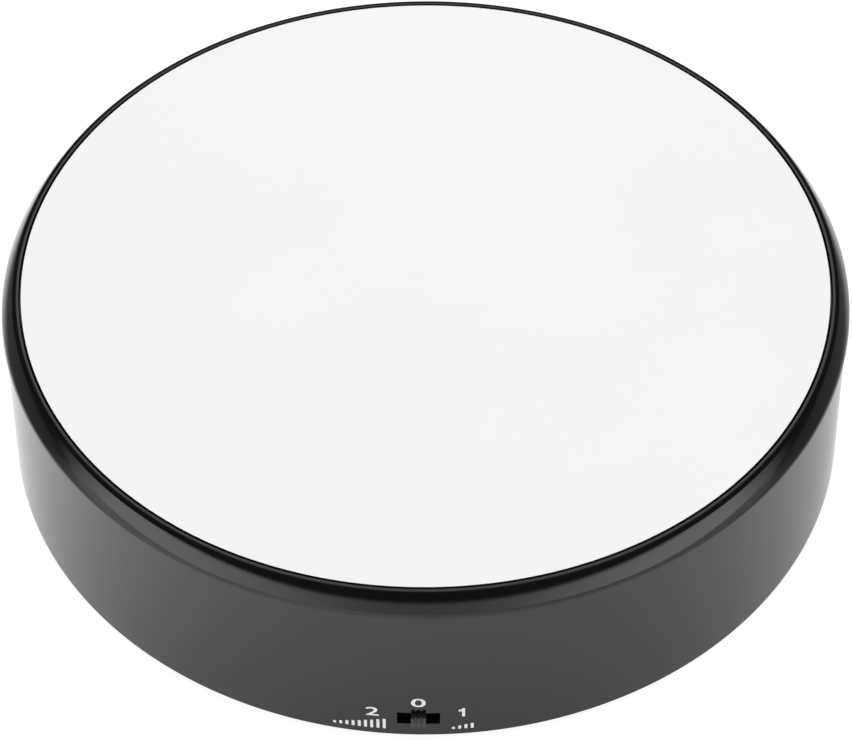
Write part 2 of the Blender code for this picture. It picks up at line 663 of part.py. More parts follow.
def output_parts():
    """Flatted output shaft with its gear and clip, the platter's screw and two plain bushes."""
    hole, depth = 1.5, 30.0
    shaft = solid("output_shaft", turned([
        (0, SHAFT_BOTTOM), (SHAFT_RADIUS - 0.3, SHAFT_BOTTOM), (SHAFT_RADIUS, SHAFT_BOTTOM + 0.3),
        (SHAFT_RADIUS, SHAFT_TOP), (hole, SHAFT_TOP), (hole, depth), (0, depth)]), steel())
    reach = SHAFT_RADIUS + 1
    flats = [box((SHAFT_FLAT, reach), (-reach, reach), span)
             for span in ((17.2, 24.0), (HUB_BOTTOM - 0.6, SHAFT_TOP + 1))]
    neck = SHAFT_RADIUS - 0.6
    groove = turned([(neck, 10.4), (reach, 10.4), (reach, 11.6), (neck, 11.6)])
    carve(shaft, *flats, groove)

    clip = prism([ring_place(5.2, math.radians(30 + 300 * k / 20)) for k in range(21)]
                 + [ring_place(2.7, math.radians(330 - 300 * k / 20)) for k in range(21)], 10.7, 11.3)
    solid("shaft_clip", clip, steel())

    upside_down = Matrix.Translation((0, 0, 41.5)) @ Matrix.Rotation(math.pi, 4, "X")
    screw("platter_screw", upside_down, 2.9, 1.2, 8.0)

    gear = solid("output_gear", spur(SLOW_WHEEL, SLOW_MODULE, HEADINGS[0] + math.pi / SLOW_WHEEL,
                                     20.0, 23.6, OUTPUT), nylon())
    fuse(gear, post(OUTPUT, 6.0, 17.5, 22.0, FINE))
    carve(gear, shaft_section(GAP, 16.0, 25.0))

    bore = SHAFT_RADIUS + GAP
    solid("upper_bush", turned([(bore, 29.7), (BUSH_RADIUS, 29.7), (BUSH_RADIUS, 34.0),
                                (bore, 34.0)]), brass())
    solid("lower_bush", turned([(bore, 12.0), (5.0, 12.0), (5.0, 16.5), (6.4, 16.5),
                                (6.4, 17.2), (bore, 17.2)]), brass())


# ---------------------------------------------------------------- drive
def compound_gear(name, place, wheel, pinion):
    """A large wheel and a small pinion on one bore; each is (teeth, module, phase, bottom, top)."""
    teeth, module, phase, bottom, top = wheel
    item = solid(name, spur(teeth, module, phase, bottom, top, place), nylon(), place)
    teeth, module, phase, bottom, top = pinion
    fuse(item, spur(teeth, module, phase, bottom, top, place, 3))
    return carve(item, post(place, BORE_RADIUS, bottom - 2, wheel[4] + 6, FINE))


def gear_train():
    """Three compound gears and the motor pinion; each pair meets tooth in gap."""
    compound_gear("gear_3", GEAR_3,
                  (SLOW_WHEEL, SLOW_MODULE, HEADINGS[1] + math.pi / SLOW_WHEEL, 24.6, 27.6),
                  (SLOW_PINION, SLOW_MODULE, HEADINGS[0] + math.pi, 19.6, 25.6))
    compound_gear("gear_2", GEAR_2,
                  (FAST_WHEEL, FAST_MODULE, HEADINGS[2] + math.pi / FAST_WHEEL, 28.8, 31.2),
                  (SLOW_PINION, SLOW_MODULE, HEADINGS[1] + math.pi, 24.2, 29.8))
    compound_gear("gear_1", GEAR_1,
                  (FAST_WHEEL, FAST_MODULE, HEADINGS[3] + math.pi / FAST_WHEEL, 32.4, 34.8),
                  (FAST_PINION, FAST_MODULE, HEADINGS[2] + math.pi, 28.4, 33.4))
    pinion = solid("motor_pinion", spur(FAST_PINION, FAST_MODULE, HEADINGS[3] + math.pi,
                                        32.0, 35.2, MOTOR, 3), brass(), MOTOR)
    carve(pinion, post(MOTOR, BORE_RADIUS, 31.0, 36.0, COARSE))
    for number, place in enumerate((GEAR_1, GEAR_2, GEAR_3), 1):
        solid(f"axle_{number}", post(place, AXLE_RADIUS, AXLE_BOTTOM, AXLE_TOP, 12), steel())


def gear_plate():
    """Lower plate with axle sockets, the shaft's bush seat and the motor's cup."""
    item = solid("gear_plate", prism(PLATE_OUTLINE, PLATE_BOTTOM, PLATE_TOP), nylon())
    x, y = MOTOR
    half_x, half_y = CAN_RADIUS + 0.4, CAN_HALF + 0.4
    cup = box((x - half_x - CUP_WALL, x + half_x + CUP_WALL),
              (y - half_y - CUP_WALL, y + half_y + CUP_WALL), (CUP_BOTTOM, PLATE_TOP + 2.0))
    sockets = [post(p, 2.6, PLATE_BOTTOM + 1, 16.0) for p in (GEAR_2, GEAR_3)]
    fuse(item, cup, *sockets, post(OUTPUT, 7.6, PLATE_BOTTOM + 1, 16.2, FINE))
    fuse(item, post(GEAR_1, 2.6, PLATE_BOTTOM + 1, 16.6))

    well = box((x - half_x, x + half_x), (y - half_y, y + half_y), (CUP_FLOOR, 20.0))
    window = box((x - 6, x + 6), (y - 4, y + 4), (2.0, 8.0))
    notches = box((x - 2.4, x + 2.4), (y - 14, y + 14), (6.0, 9.0))
    carve(item, well)
    carve(item, window)
    carve(item, notches)
    axles = [post(p, BORE_RADIUS, PLATE_BOTTOM + 0.1, 18.0, 12) for p in (GEAR_1, GEAR_2, GEAR_3)]
    screws = [post(p, 1.7, PLATE_BOTTOM - 1, PLATE_TOP + 1, 12) for p in PLATE_SCREWS]
    return carve(item, *axles, *screws, post(OUTPUT, 5.0 + GAP, PLATE_BOTTOM - 1, 17.0, FINE))


def motor():
    x, y = MOTOR
    shape = can_outline(CAN_RADIUS, CAN_HALF, MOTOR)
    can = solid("motor_can", prism(shape, CAN_BOTTOM, CAN_TOP), steel())
    fuse(can, post(MOTOR, 3.05, CAN_TOP - 1, CAN_TOP + 1.0, FINE))
    hollow = can_outline(CAN_RADIUS - CAN_WALL, CAN_HALF - CAN_WALL, MOTOR)
    carve(can, prism(hollow, CAN_BOTTOM - 1, CAN_TOP - 1.0))
    carve(can, post(MOTOR, 1.5, CAN_TOP - 3, CAN_TOP + 3, COARSE))

    cap = solid("motor_end_cap", prism(shape, CAP_BOTTOM, CAP_TOP), nylon())
    carve(cap, post(MOTOR, 1.4, CAP_BOTTOM - 1, CAP_TOP + 1, COARSE))
    for number, side in ((1, 1), (2, -1)):
        span = sorted((y + side * (CAN_HALF + GAP), y + side * (CAN_HALF + TERMINAL_REACH)))
        solid(f"motor_terminal_{number}", box((x - 1.2, x + 1.2), span, (7.2, 7.7)), brass())

    rotor = turned([(0, 6.2), (AXLE_RADIUS, 6.2), (AXLE_RADIUS, 10.0), (2.4, 10.0), (2.4, 12.6),
                    (AXLE_RADIUS, 12.6), (AXLE_RADIUS, 13.4), (6.0, 13.4), (6.0, 26.0),
                    (AXLE_RADIUS, 26.0), (AXLE_RADIUS, 35.7), (0, 35.7)], 20)
    solid("motor_rotor", moved(rotor, Matrix.Translation((x, y, 0))), steel(), MOTOR)


# ---------------------------------------------------------------- switch and leads
def switch():
    """Slide switch body on a small upright board, and the knob that shows in the slot."""
    dark = material("switch_metal", (0.4, 0.4, 0.42), 0.35, 1.0)
    body = solid("switch_body", box((-BODY_HALF, BODY_HALF), (BODY_FRONT, BOARD_FRONT - GAP),
                                    (SWITCH_Z - BODY_HEIGHT / 2, SWITCH_Z + BODY_HEIGHT / 2)), dark)
    carve(body, box((-5.0, 5.0), (BODY_FRONT - 1.0, BODY_FRONT + 2.0),
                    (SWITCH_Z - 1.4, SWITCH_Z + 1.4)))

    rib, groove, depth = 0.7, 0.5, 0.35
    left = -KNOB_HALF
    front = []
    for number in range(3):
        start = left + number * (rib + groove)
        front += [(start, KNOB_FACE), (start + rib, KNOB_FACE)]
        if number < 2:
            front += [(start + rib, KNOB_FACE + depth), (start + rib + groove, KNOB_FACE + depth)]
    outline = front + [(KNOB_HALF, KNOB_BACK), (-KNOB_HALF, KNOB_BACK)]
    half = KNOB_HEIGHT / 2
    knob = solid("switch_knob", prism(outline, SWITCH_Z - half, SWITCH_Z + half), black_plastic(),
                 (0, KNOB_FACE + 2, SWITCH_Z))
    fuse(knob, box((-STEM_HALF, STEM_HALF), (STEM_FRONT, STEM_END), (SWITCH_Z - 1.05, SWITCH_Z + 1.05)))

    board = solid("switch_board", box((-BOARD_HALF, BOARD_HALF), (BOARD_FRONT, BOARD_BACK),
                                      (BOARD_BOTTOM, BOARD_TOP)),
                  material("board_green", (0.05, 0.22, 0.1), 0.5))
    holes = [rod((x, BOARD_FRONT - 1.0, BOARD_SCREW_Z), (x, BOARD_BACK + 1.0, BOARD_SCREW_Z),
                 SMALL_SCREW_SHANK + GAP) for x in (-BOARD_SCREW_X, BOARD_SCREW_X)]
    carve(board, *holes)
    for number, x in ((1, -BOARD_SCREW_X), (2, BOARD_SCREW_X)):
        pose = (Matrix.Translation((x, BOARD_BACK + GAP, BOARD_SCREW_Z))
                @ Matrix.Rotation(math.pi / 2, 4, "X"))
        screw(f"board_screw_{number}", pose, SMALL_SCREW_HEAD, SMALL_SCREW_SHANK, SMALL_SCREW_LENGTH)

    resistor = turned([(0, -5.0), (0.35, -5.0), (0.35, -3.0), (1.1, -2.6), (1.1, 2.6), (0.35, 3.0),
                       (0.35, 5.0), (0, 5.0)], 12)
    lay = Matrix.Translation((0, BOARD_BACK + GAP + 1.1, 8.0)) @ Matrix.Rotation(math.pi / 2, 4, "Y")
    solid("speed_resistor", moved(resistor, lay), material("resistor_tan", (0.62, 0.48, 0.3), 0.5))


def leads():
    """Three insulated leads: cells to switch, cells to motor, switch to motor."""
    x, y = MOTOR
    plate_face = BAY_END - 0.3 + GAP
    back = BOARD_BACK + GAP
    left, right = BAY_X - CELL_SPACING / 2, BAY_X + CELL_SPACING / 2
    terminal = CAN_HALF + TERMINAL_REACH + GAP
    routes = {
        "lead_cells_switch": [(left, plate_face, LEAD_Z), (left, 36, LEAD_Z), (-55, 42, 19), (-38, 44, 23),
                              (-28, 32, 24), (-27, 0, 24), (-26, -40, 20), (-18, -66, 14),
                              (-6, -77, 13), (-4, back, 13)],
        "lead_cells_motor": [(right, plate_face, LEAD_Z), (right, 36, LEAD_Z), (-40, 44, 12), (-24, 50, 9),
                             (10, 50, 8), (44, 42, 8), (60, 28, 7.5), (x, 18, 7.5),
                             (x, y + terminal, 7.45)],
        "lead_switch_motor": [(5, back, 13), (7, -76, 12), (20, -60, 9), (46, -40, 7.5),
                              (60, -24, 7.5), (x, -18, 7.5), (x, y - terminal, 7.45)],
    }
    colours = {"lead_cells_switch": ("lead_red", (0.6, 0.03, 0.03)),
               "lead_cells_motor": ("lead_black", (0.02, 0.02, 0.02)),
               "lead_switch_motor": ("lead_white", (0.8, 0.8, 0.8))}
    for name, route in routes.items():
        item = wire_object(name, smooth_route(route, 4.8), LEAD_RADIUS, 2)
        look_name, colour = colours[name]
        item.data.materials.append(material(look_name, colour, 0.45))


def build():
    clear_scene()
    base_shell()
    roller_sets()
    bottom_cover()
    feet_and_screws()
    battery_door()
    cells()
    contacts()
    top_disc()
    platter()
    output_parts()
    gear_train()
    gear_plate()
    motor()
    switch()
    leads()


build()
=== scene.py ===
# %% [markdown]
# # A battery turntable, finished for a close look
#
# The mechanical model is fixed: it says where every piece is and how it moves. This script only
# gives each piece its surface. It loads that model, notes the box it fills, and then goes from the
# big glossy mouldings that everyone sees to the gears and cells that show when it is taken apart.

# %% Load the fixed model and note its size
import math

import bmesh
import bpy
from mathutils import Matrix, Vector


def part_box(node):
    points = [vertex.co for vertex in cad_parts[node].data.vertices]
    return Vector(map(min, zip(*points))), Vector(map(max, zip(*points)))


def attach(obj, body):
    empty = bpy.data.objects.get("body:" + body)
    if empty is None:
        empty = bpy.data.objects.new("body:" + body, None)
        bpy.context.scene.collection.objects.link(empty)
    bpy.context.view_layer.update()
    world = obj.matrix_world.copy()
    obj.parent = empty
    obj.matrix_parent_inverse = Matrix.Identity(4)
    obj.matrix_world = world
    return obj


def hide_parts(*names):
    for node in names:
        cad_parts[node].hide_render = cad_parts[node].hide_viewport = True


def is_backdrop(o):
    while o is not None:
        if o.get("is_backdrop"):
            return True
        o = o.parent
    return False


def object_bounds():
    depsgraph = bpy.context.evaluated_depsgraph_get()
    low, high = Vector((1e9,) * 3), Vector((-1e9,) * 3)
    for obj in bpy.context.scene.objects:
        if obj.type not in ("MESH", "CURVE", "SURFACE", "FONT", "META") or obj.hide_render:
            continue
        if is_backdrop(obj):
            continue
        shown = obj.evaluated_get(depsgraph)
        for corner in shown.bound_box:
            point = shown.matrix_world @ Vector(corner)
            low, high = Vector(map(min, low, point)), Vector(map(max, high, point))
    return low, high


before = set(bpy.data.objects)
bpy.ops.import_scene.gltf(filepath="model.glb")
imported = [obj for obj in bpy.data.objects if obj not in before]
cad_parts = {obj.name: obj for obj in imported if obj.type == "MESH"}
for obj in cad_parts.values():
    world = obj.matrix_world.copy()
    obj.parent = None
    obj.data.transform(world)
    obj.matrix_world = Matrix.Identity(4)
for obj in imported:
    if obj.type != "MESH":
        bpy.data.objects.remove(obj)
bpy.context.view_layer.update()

MM = 0.001

# %% [markdown]
# ## Driving sizes
#
# The outer sizes are read from the fixed pieces, so that the finished mouldings sit exactly where
# the plain ones do. Only the small things that a plain model leaves out, such as the radius of a
# broken edge, are chosen here.

# %% Sizes read from the fixed pieces
WALL_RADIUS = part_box("base_shell")[1].x
WALL_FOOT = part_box("base_shell")[0].z
DECK_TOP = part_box("base_shell")[1].z
SKIRT_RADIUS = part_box("platter")[1].x
DISC_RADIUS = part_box("top_disc")[1].x
DISC_LOW, TOP = (corner.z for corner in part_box("top_disc"))
HUB_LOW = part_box("platter")[0].z
WALL_THICK = 2.4 * MM
DECK_THICK = 2.4 * MM
DECK_UNDER = DECK_TOP - DECK_THICK
SEAM = 0.5 * MM               # open joint between the platter's skirt and the wall
SKIRT_FOOT = DECK_TOP + SEAM
LAND_INNER = 87.0 * MM
CROWN_START = 87.5 * MM       # radius where the flat land begins to round over
CROWN_ROUND = 1.4 * MM
CROWN_END = math.radians(38)  # upward lean of the surface where the crown becomes the skirt
SKIRT_LEAN = math.radians(24)  # upward lean at the skirt's foot
PLATTER_FLOOR = 42.7 * MM
PLATTER_UNDER = 40.7 * MM
PAINTED_EDGE_SHADE = 0.15 * MM        # width of the black ring painted round the white face, painted shade of the groove
SMOOTH = 360                  # sides of the large turned pieces
print("wall radius", round(WALL_RADIUS / MM, 2), "skirt radius", round(SKIRT_RADIUS / MM, 2))

# %% [markdown]
# ## Shaping tools
#
# A moulding like this is drawn as a half section and turned, the way a lathe cuts it. Sharp corners
# catch no light, so the section's corners are rounded first. `held` keeps the straights between them
# flat when the shading is smoothed. `turned` spins the section, `settled` turns live modifiers into
# plain mesh, `finished` copies a plain piece, welds it and breaks its edges, and `keep` says which
# body a piece moves with, which finish it has and which plain pieces it stands for.

# %% Round the corners of a half section
def rounded(corners, steps=4):
    """Replace each (radius, height, fillet) corner by an arc of that fillet radius."""
    outline = []
    count = len(corners)
    for number, (x, z, fillet) in enumerate(corners):
        here = Vector((x, z))
        before = Vector(corners[number - 1][:2]) - here
        after = Vector(corners[(number + 1) % count][:2]) - here
        if fillet <= 0 or before.length == 0 or after.length == 0:
            outline.append((x, z))
            continue
        half = before.angle(after) / 2
        reach = min(fillet / math.tan(half), before.length * 0.49, after.length * 0.49)
        radius = reach * math.tan(half)
        centre = here + (before.normalized() + after.normalized()).normalized() * radius / math.sin(half)
        start = here + before.normalized() * reach - centre
        end = here + after.normalized() * reach - centre
        turn = math.atan2(start.cross(end), start.dot(end))
        for k in range(steps + 1):
            spoke = Matrix.Rotation(turn * k / steps, 2) @ start
            outline.append((centre.x + spoke.x, centre.y + spoke.y))
    return outline


def held(section, reach=0.25 * MM, long=1.5 * MM):
    """Add points near both ends of long straights, so that smooth shading leaves them flat."""
    outline = []
    for number, point in enumerate(section):
        outline.append(point)
        here, after = Vector(point), Vector(section[(number + 1) % len(section)])
        line = after - here
        closes = number == len(section) - 1 and section[0][0] == 0
        if line.length > long and not closes:
            step = line.normalized() * reach
            outline += [tuple(here + step), tuple(after - step)]
    return outline


# %% Spin a half section into a piece
def mesh_object(name, bm, sharp=35):
    mesh = bpy.data.meshes.new(name)
    bm.to_mesh(mesh)
    bm.free()
    mesh.shade_smooth()
    mesh.set_sharp_from_angle(angle=math.radians(sharp))
    piece = bpy.data.objects.new(name, mesh)
    bpy.context.scene.collection.objects.link(piece)
    return piece


def turned_mesh(section, sides):
    """A bmesh turned about Z; a section whose ends lie on the axis stays open, any other closes."""
    bm = bmesh.new()
    points = [bm.verts.new((radius, 0.0, height)) for radius, height in section]
    edges = [bm.edges.new(pair) for pair in zip(points, points[1:])]
    if section[0][0] > 0 or section[-1][0] > 0:
        edges.append(bm.edges.new((points[-1], points[0])))
    bmesh.ops.spin(bm, geom=points + edges, cent=(0, 0, 0), axis=(0, 0, 1),
                   angle=math.tau, steps=sides, use_merge=True)
    bmesh.ops.remove_doubles(bm, verts=bm.verts, dist=1e-7)
    bmesh.ops.recalc_face_normals(bm, faces=bm.faces)
    return bm


def turned(name, section, sides=SMOOTH, place=None):
    bm = turned_mesh(held(section), sides)
    if place:
        bmesh.ops.transform(bm, matrix=place, verts=bm.verts)
    return mesh_object(name, bm)


# %% Turn live modifiers into a plain mesh
def settled(piece, sharp=35):
    graph = bpy.context.evaluated_depsgraph_get()
    mesh = bpy.data.meshes.new_from_object(piece.evaluated_get(graph))
    piece.modifiers.clear()
    piece.data = mesh
    mesh.shade_smooth()
    mesh.set_sharp_from_angle(angle=math.radians(sharp))
    return piece


def finished(node, edge=0.12, segments=2, sharp=35):
    """A welded copy of a plain piece whose edges are broken by `edge` millimetres."""
    bm = bmesh.new()
    bm.from_mesh(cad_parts[node].data)
    bmesh.ops.remove_doubles(bm, verts=bm.verts, dist=1e-6)
    bmesh.ops.dissolve_limit(bm, angle_limit=math.radians(0.5), verts=bm.verts, edges=bm.edges)
    piece = mesh_object(node + "_finish", bm, sharp)
    if edge > 0:
        bevel = piece.modifiers.new("Broken edges", "BEVEL")
        bevel.width = edge * MM
        bevel.segments = segments
        bevel.limit_method = "ANGLE"
        bevel.angle_limit = math.radians(40)
        bevel.use_clamp_overlap = True
        bevel.harden_normals = True
        settled(piece, sharp)
    return piece


def keep(piece, body, slot, look, *nodes):
    """Give a finished piece its material and body, and let it stand for its plain pieces."""
    piece.data.materials.clear()
    piece.data.materials.append(look)
    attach(piece, body)
    if nodes:
        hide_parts(*nodes)
    return piece


# %% [markdown]
# ## Material: polished black moulding
#
# The wall and the platter are one kind of plastic, polished like a piano lid. Nearly all that the
# eye sees on it is reflection, so the colour hardly matters and the roughness does: a fresh mould
# gives about 0.08, and handling leaves fine hair scratches and a breath of dust that lift it in
# places. The faint bump is the slight waviness that every thick moulding has.

# %% Polished black plastic
def polished_black(name, seed):
    look = bpy.data.materials.new(name)
    look.use_nodes = True
    nodes, links = look.node_tree.nodes, look.node_tree.links
    nodes.clear()

    output = nodes.new("ShaderNodeOutputMaterial")
    output.label = "Finished surface"
    output.location = (900, 0)
    shader = nodes.new("ShaderNodeBsdfPrincipled")
    shader.label = "Black gloss plastic"
    shader.location = (620, 0)
    shader.inputs["IOR"].default_value = 1.5
    shader.inputs["Specular IOR Level"].default_value = 0.5

    place = nodes.new("ShaderNodeTexCoord")
    place.label = "Place on the object"
    place.location = (-900, 0)
    shift = nodes.new("ShaderNodeMapping")
    shift.label = "Own patch of the pattern"
    shift.location = (-720, 0)
    shift.inputs["Location"].default_value = (seed, seed * 0.7, seed * 1.3)

    dust_group = nodes.new("NodeFrame")
    dust_group.label = "Dust specks in the colour"
    specks = nodes.new("ShaderNodeTexNoise")
    specks.label = "Fine dust"
    specks.location = (-480, 320)
    specks.parent = dust_group
    specks.inputs["Scale"].default_value = 2600.0
    specks.inputs["Detail"].default_value = 2.0
    dust_cut = nodes.new("ShaderNodeValToRGB")
    dust_cut.label = "Keep the few brightest specks"
    dust_cut.location = (-260, 320)
    dust_cut.parent = dust_group
    dust_cut.color_ramp.elements[0].position = 0.7
    dust_cut.color_ramp.elements[1].position = 0.82
    tint = nodes.new("ShaderNodeMix")
    tint.label = "Plastic or dust"
    tint.data_type = "RGBA"
    tint.location = (60, 320)
    tint.parent = dust_group
    tint.inputs["A"].default_value = (0.0045, 0.0045, 0.005, 1.0)
    tint.inputs["B"].default_value = (0.03, 0.03, 0.029, 1.0)

    wear_group = nodes.new("NodeFrame")
    wear_group.label = "Roughness: handling and hair scratches"
    smudge = nodes.new("ShaderNodeTexNoise")
    smudge.label = "Handling smudges"
    smudge.location = (-480, 20)
    smudge.parent = wear_group
    smudge.inputs["Scale"].default_value = 22.0
    smudge.inputs["Detail"].default_value = 4.0
    hair = nodes.new("ShaderNodeTexWave")
    hair.label = "Hair scratches"
    hair.location = (-480, -220)
    hair.parent = wear_group
    hair.bands_direction = "DIAGONAL"
    hair.inputs["Scale"].default_value = 420.0
    hair.inputs["Distortion"].default_value = 14.0
    hair.inputs["Detail"].default_value = 3.0
    both = nodes.new("ShaderNodeMath")
    both.label = "Scratches inside smudges"
    both.operation = "MULTIPLY"
    both.location = (-240, -60)
    both.parent = wear_group
    rough = nodes.new("ShaderNodeMapRange")
    rough.label = "Polish to worn polish"
    rough.location = (60, -40)
    rough.parent = wear_group
    rough.inputs["To Min"].default_value = 0.06
    rough.inputs["To Max"].default_value = 0.16

    bump_group = nodes.new("NodeFrame")
    bump_group.label = "Waviness of a thick moulding"
    wave = nodes.new("ShaderNodeTexNoise")
    wave.label = "Slow waviness"
    wave.location = (-240, -420)
    wave.parent = bump_group
    wave.inputs["Scale"].default_value = 34.0
    wave.inputs["Detail"].default_value = 1.0
    bump = nodes.new("ShaderNodeBump")
    bump.label = "Barely raised"
    bump.location = (60, -420)
    bump.parent = bump_group
    bump.inputs["Strength"].default_value = 0.06
    bump.inputs["Distance"].default_value = 0.0006

    links.new(place.outputs["Object"], shift.inputs["Vector"])
    links.new(shift.outputs["Vector"], specks.inputs["Vector"])
    links.new(shift.outputs["Vector"], smudge.inputs["Vector"])
    links.new(shift.outputs["Vector"], hair.inputs["Vector"])
    links.new(shift.outputs["Vector"], wave.inputs["Vector"])
    links.new(specks.outputs["Fac"], dust_cut.inputs["Fac"])
    links.new(dust_cut.outputs["Color"], tint.inputs["Factor"])
    links.new(tint.outputs["Result"], shader.inputs["Base Color"])
    links.new(smudge.outputs["Fac"], both.inputs[0])
    links.new(hair.outputs["Fac"], both.inputs[1])
    links.new(both.outputs["Value"], rough.inputs["Value"])
    links.new(rough.outputs["Result"], shader.inputs["Roughness"])
    links.new(wave.outputs["Fac"], bump.inputs["Height"])
    links.new(bump.outputs["Normal"], shader.inputs["Normal"])
    links.new(shader.outputs["BSDF"], output.inputs["Surface"])
    return look


wall_black = polished_black("Polished black, wall", 0.0)
platter_black = polished_black("Polished black, platter", 3.1)
print("made", wall_black.name, "and", platter_black.name)

# %% [markdown]
# ## Material: white display plate
#
# The plate is a hard, bright white sheet with a low sheen. A thin black ring round its edge, which the
# distance from the middle picks out, is painted shade that stands for the narrow groove round it. It
# is wiped in circles, so its faint marks run round the middle: a wave texture in rings gives them. A
# slow noise keeps the white from being one flat value.

# %% White plate
def display_white():
    look = bpy.data.materials.new("White display plate")
    look.use_nodes = True
    nodes, links = look.node_tree.nodes, look.node_tree.links
    nodes.clear()

    output = nodes.new("ShaderNodeOutputMaterial")
    output.label = "Finished surface"
    shader = nodes.new("ShaderNodeBsdfPrincipled")
    shader.label = "Hard white sheet"
    shader.inputs["IOR"].default_value = 1.49
    place = nodes.new("ShaderNodeTexCoord")
    place.label = "Place on the object"

    colour_group = nodes.new("NodeFrame")
    colour_group.label = "Colour: barely uneven white"
    cloud = nodes.new("ShaderNodeTexNoise")
    cloud.label = "Slow unevenness"
    cloud.parent = colour_group
    cloud.inputs["Scale"].default_value = 14.0
    cloud.inputs["Detail"].default_value = 3.0
    white = nodes.new("ShaderNodeValToRGB")
    white.label = "Two close whites"
    white.parent = colour_group
    white.color_ramp.elements[0].position = 0.3
    white.color_ramp.elements[0].color = (0.865, 0.866, 0.866, 1.0)
    white.color_ramp.elements[1].position = 0.7
    white.color_ramp.elements[1].color = (0.89, 0.89, 0.889, 1.0)

    # Painted shade: the top face is painted black within a hair of its edge, standing for the shade in
    # the groove round the plate.
    edge_group = nodes.new("NodeFrame")
    edge_group.label = "Painted shade at the plate's edge"
    reach = nodes.new("ShaderNodeVectorMath")
    reach.label = "Distance from the middle"
    reach.operation = "LENGTH"
    reach.parent = edge_group
    flat = nodes.new("ShaderNodeMapping")
    flat.label = "Measure it flat"
    flat.parent = edge_group
    flat.inputs["Scale"].default_value = (1.0, 1.0, 0.0)
    cut = nodes.new("ShaderNodeMath")
    cut.label = "Past the white face"
    cut.operation = "GREATER_THAN"
    cut.parent = edge_group
    cut.inputs[1].default_value = DISC_RADIUS - PAINTED_EDGE_SHADE
    sheet_colour = nodes.new("ShaderNodeMix")
    sheet_colour.label = "White face or painted edge shade"
    sheet_colour.data_type = "RGBA"
    sheet_colour.parent = edge_group
    sheet_colour.inputs["B"].default_value = (0.008, 0.008, 0.008, 1.0)

    wipe_group = nodes.new("NodeFrame")
    wipe_group.label = "Roughness: wiped in circles"
    rings = nodes.new("ShaderNodeTexWave")
    rings.label = "Wiping rings"
    rings.parent = wipe_group
    rings.wave_type = "RINGS"
    rings.rings_direction = "Z"
    rings.inputs["Scale"].default_value = 260.0
    rings.inputs["Distortion"].default_value = 1.2
    rings.inputs["Detail"].default_value = 2.0
    sheen = nodes.new("ShaderNodeMapRange")
    sheen.label = "Low sheen, slightly streaked"
    sheen.parent = wipe_group
    sheen.inputs["To Min"].default_value = 0.3
    sheen.inputs["To Max"].default_value = 0.34

    grain_group = nodes.new("NodeFrame")
    grain_group.label = "Faint sheet grain"
    grain = nodes.new("ShaderNodeTexNoise")
    grain.label = "Sheet grain"
    grain.parent = grain_group
    grain.inputs["Scale"].default_value = 900.0
    bump = nodes.new("ShaderNodeBump")
    bump.label = "Hardly raised"
    bump.parent = grain_group
    bump.inputs["Strength"].default_value = 0.04
    bump.inputs["Distance"].default_value = 0.0001

    for spot, node in (((-900, 0), place), ((-660, 420), cloud), ((-420, 420), white),
                       ((-660, 180), flat), ((-420, 180), reach), ((-180, 180), cut),
                       ((20, 320), sheet_colour), ((-660, -40), rings), ((-420, -40), sheen),
                       ((-660, -260), grain), ((-420, -260), bump), ((260, 0), shader),
                       ((560, 0), output)):
        node.location = spot
    links.new(place.outputs["Object"], cloud.inputs["Vector"])
    links.new(cloud.outputs["Fac"], white.inputs["Fac"])
    links.new(place.outputs["Object"], flat.inputs["Vector"])
    links.new(flat.outputs["Vector"], reach.inputs[0])
    links.new(reach.outputs["Value"], cut.inputs[0])
    links.new(cut.outputs["Value"], sheet_colour.inputs["Factor"])
    links.new(white.outputs["Color"], sheet_colour.inputs["A"])
    links.new(sheet_colour.outputs["Result"], shader.inputs["Base Color"])
    links.new(place.outputs["Object"], rings.inputs["Vector"])
    links.new(rings.outputs["Fac"], sheen.inputs["Value"])
    links.new(sheen.outputs["Result"], shader.inputs["Roughness"])
    links.new(place.outputs["Object"], grain.inputs["Vector"])
    links.new(grain.outputs["Fac"], bump.inputs["Height"])
    links.new(bump.outputs["Normal"], shader.inputs["Normal"])
    links.new(shader.outputs["BSDF"], output.inputs["Surface"])
    return look


plate_white = display_white()
print("made", plate_white.name)

# %% [markdown]
# ## Material: spark-textured plastic
#
# The cover, the battery door and the knob come from moulds whose steel was roughened by sparks.
# That leaves tiny rounded pits of about a fifth of a millimetre. Cells of a Voronoi texture have that
# size and shape; as a bump they scatter the light and make black plastic look grey and dry.

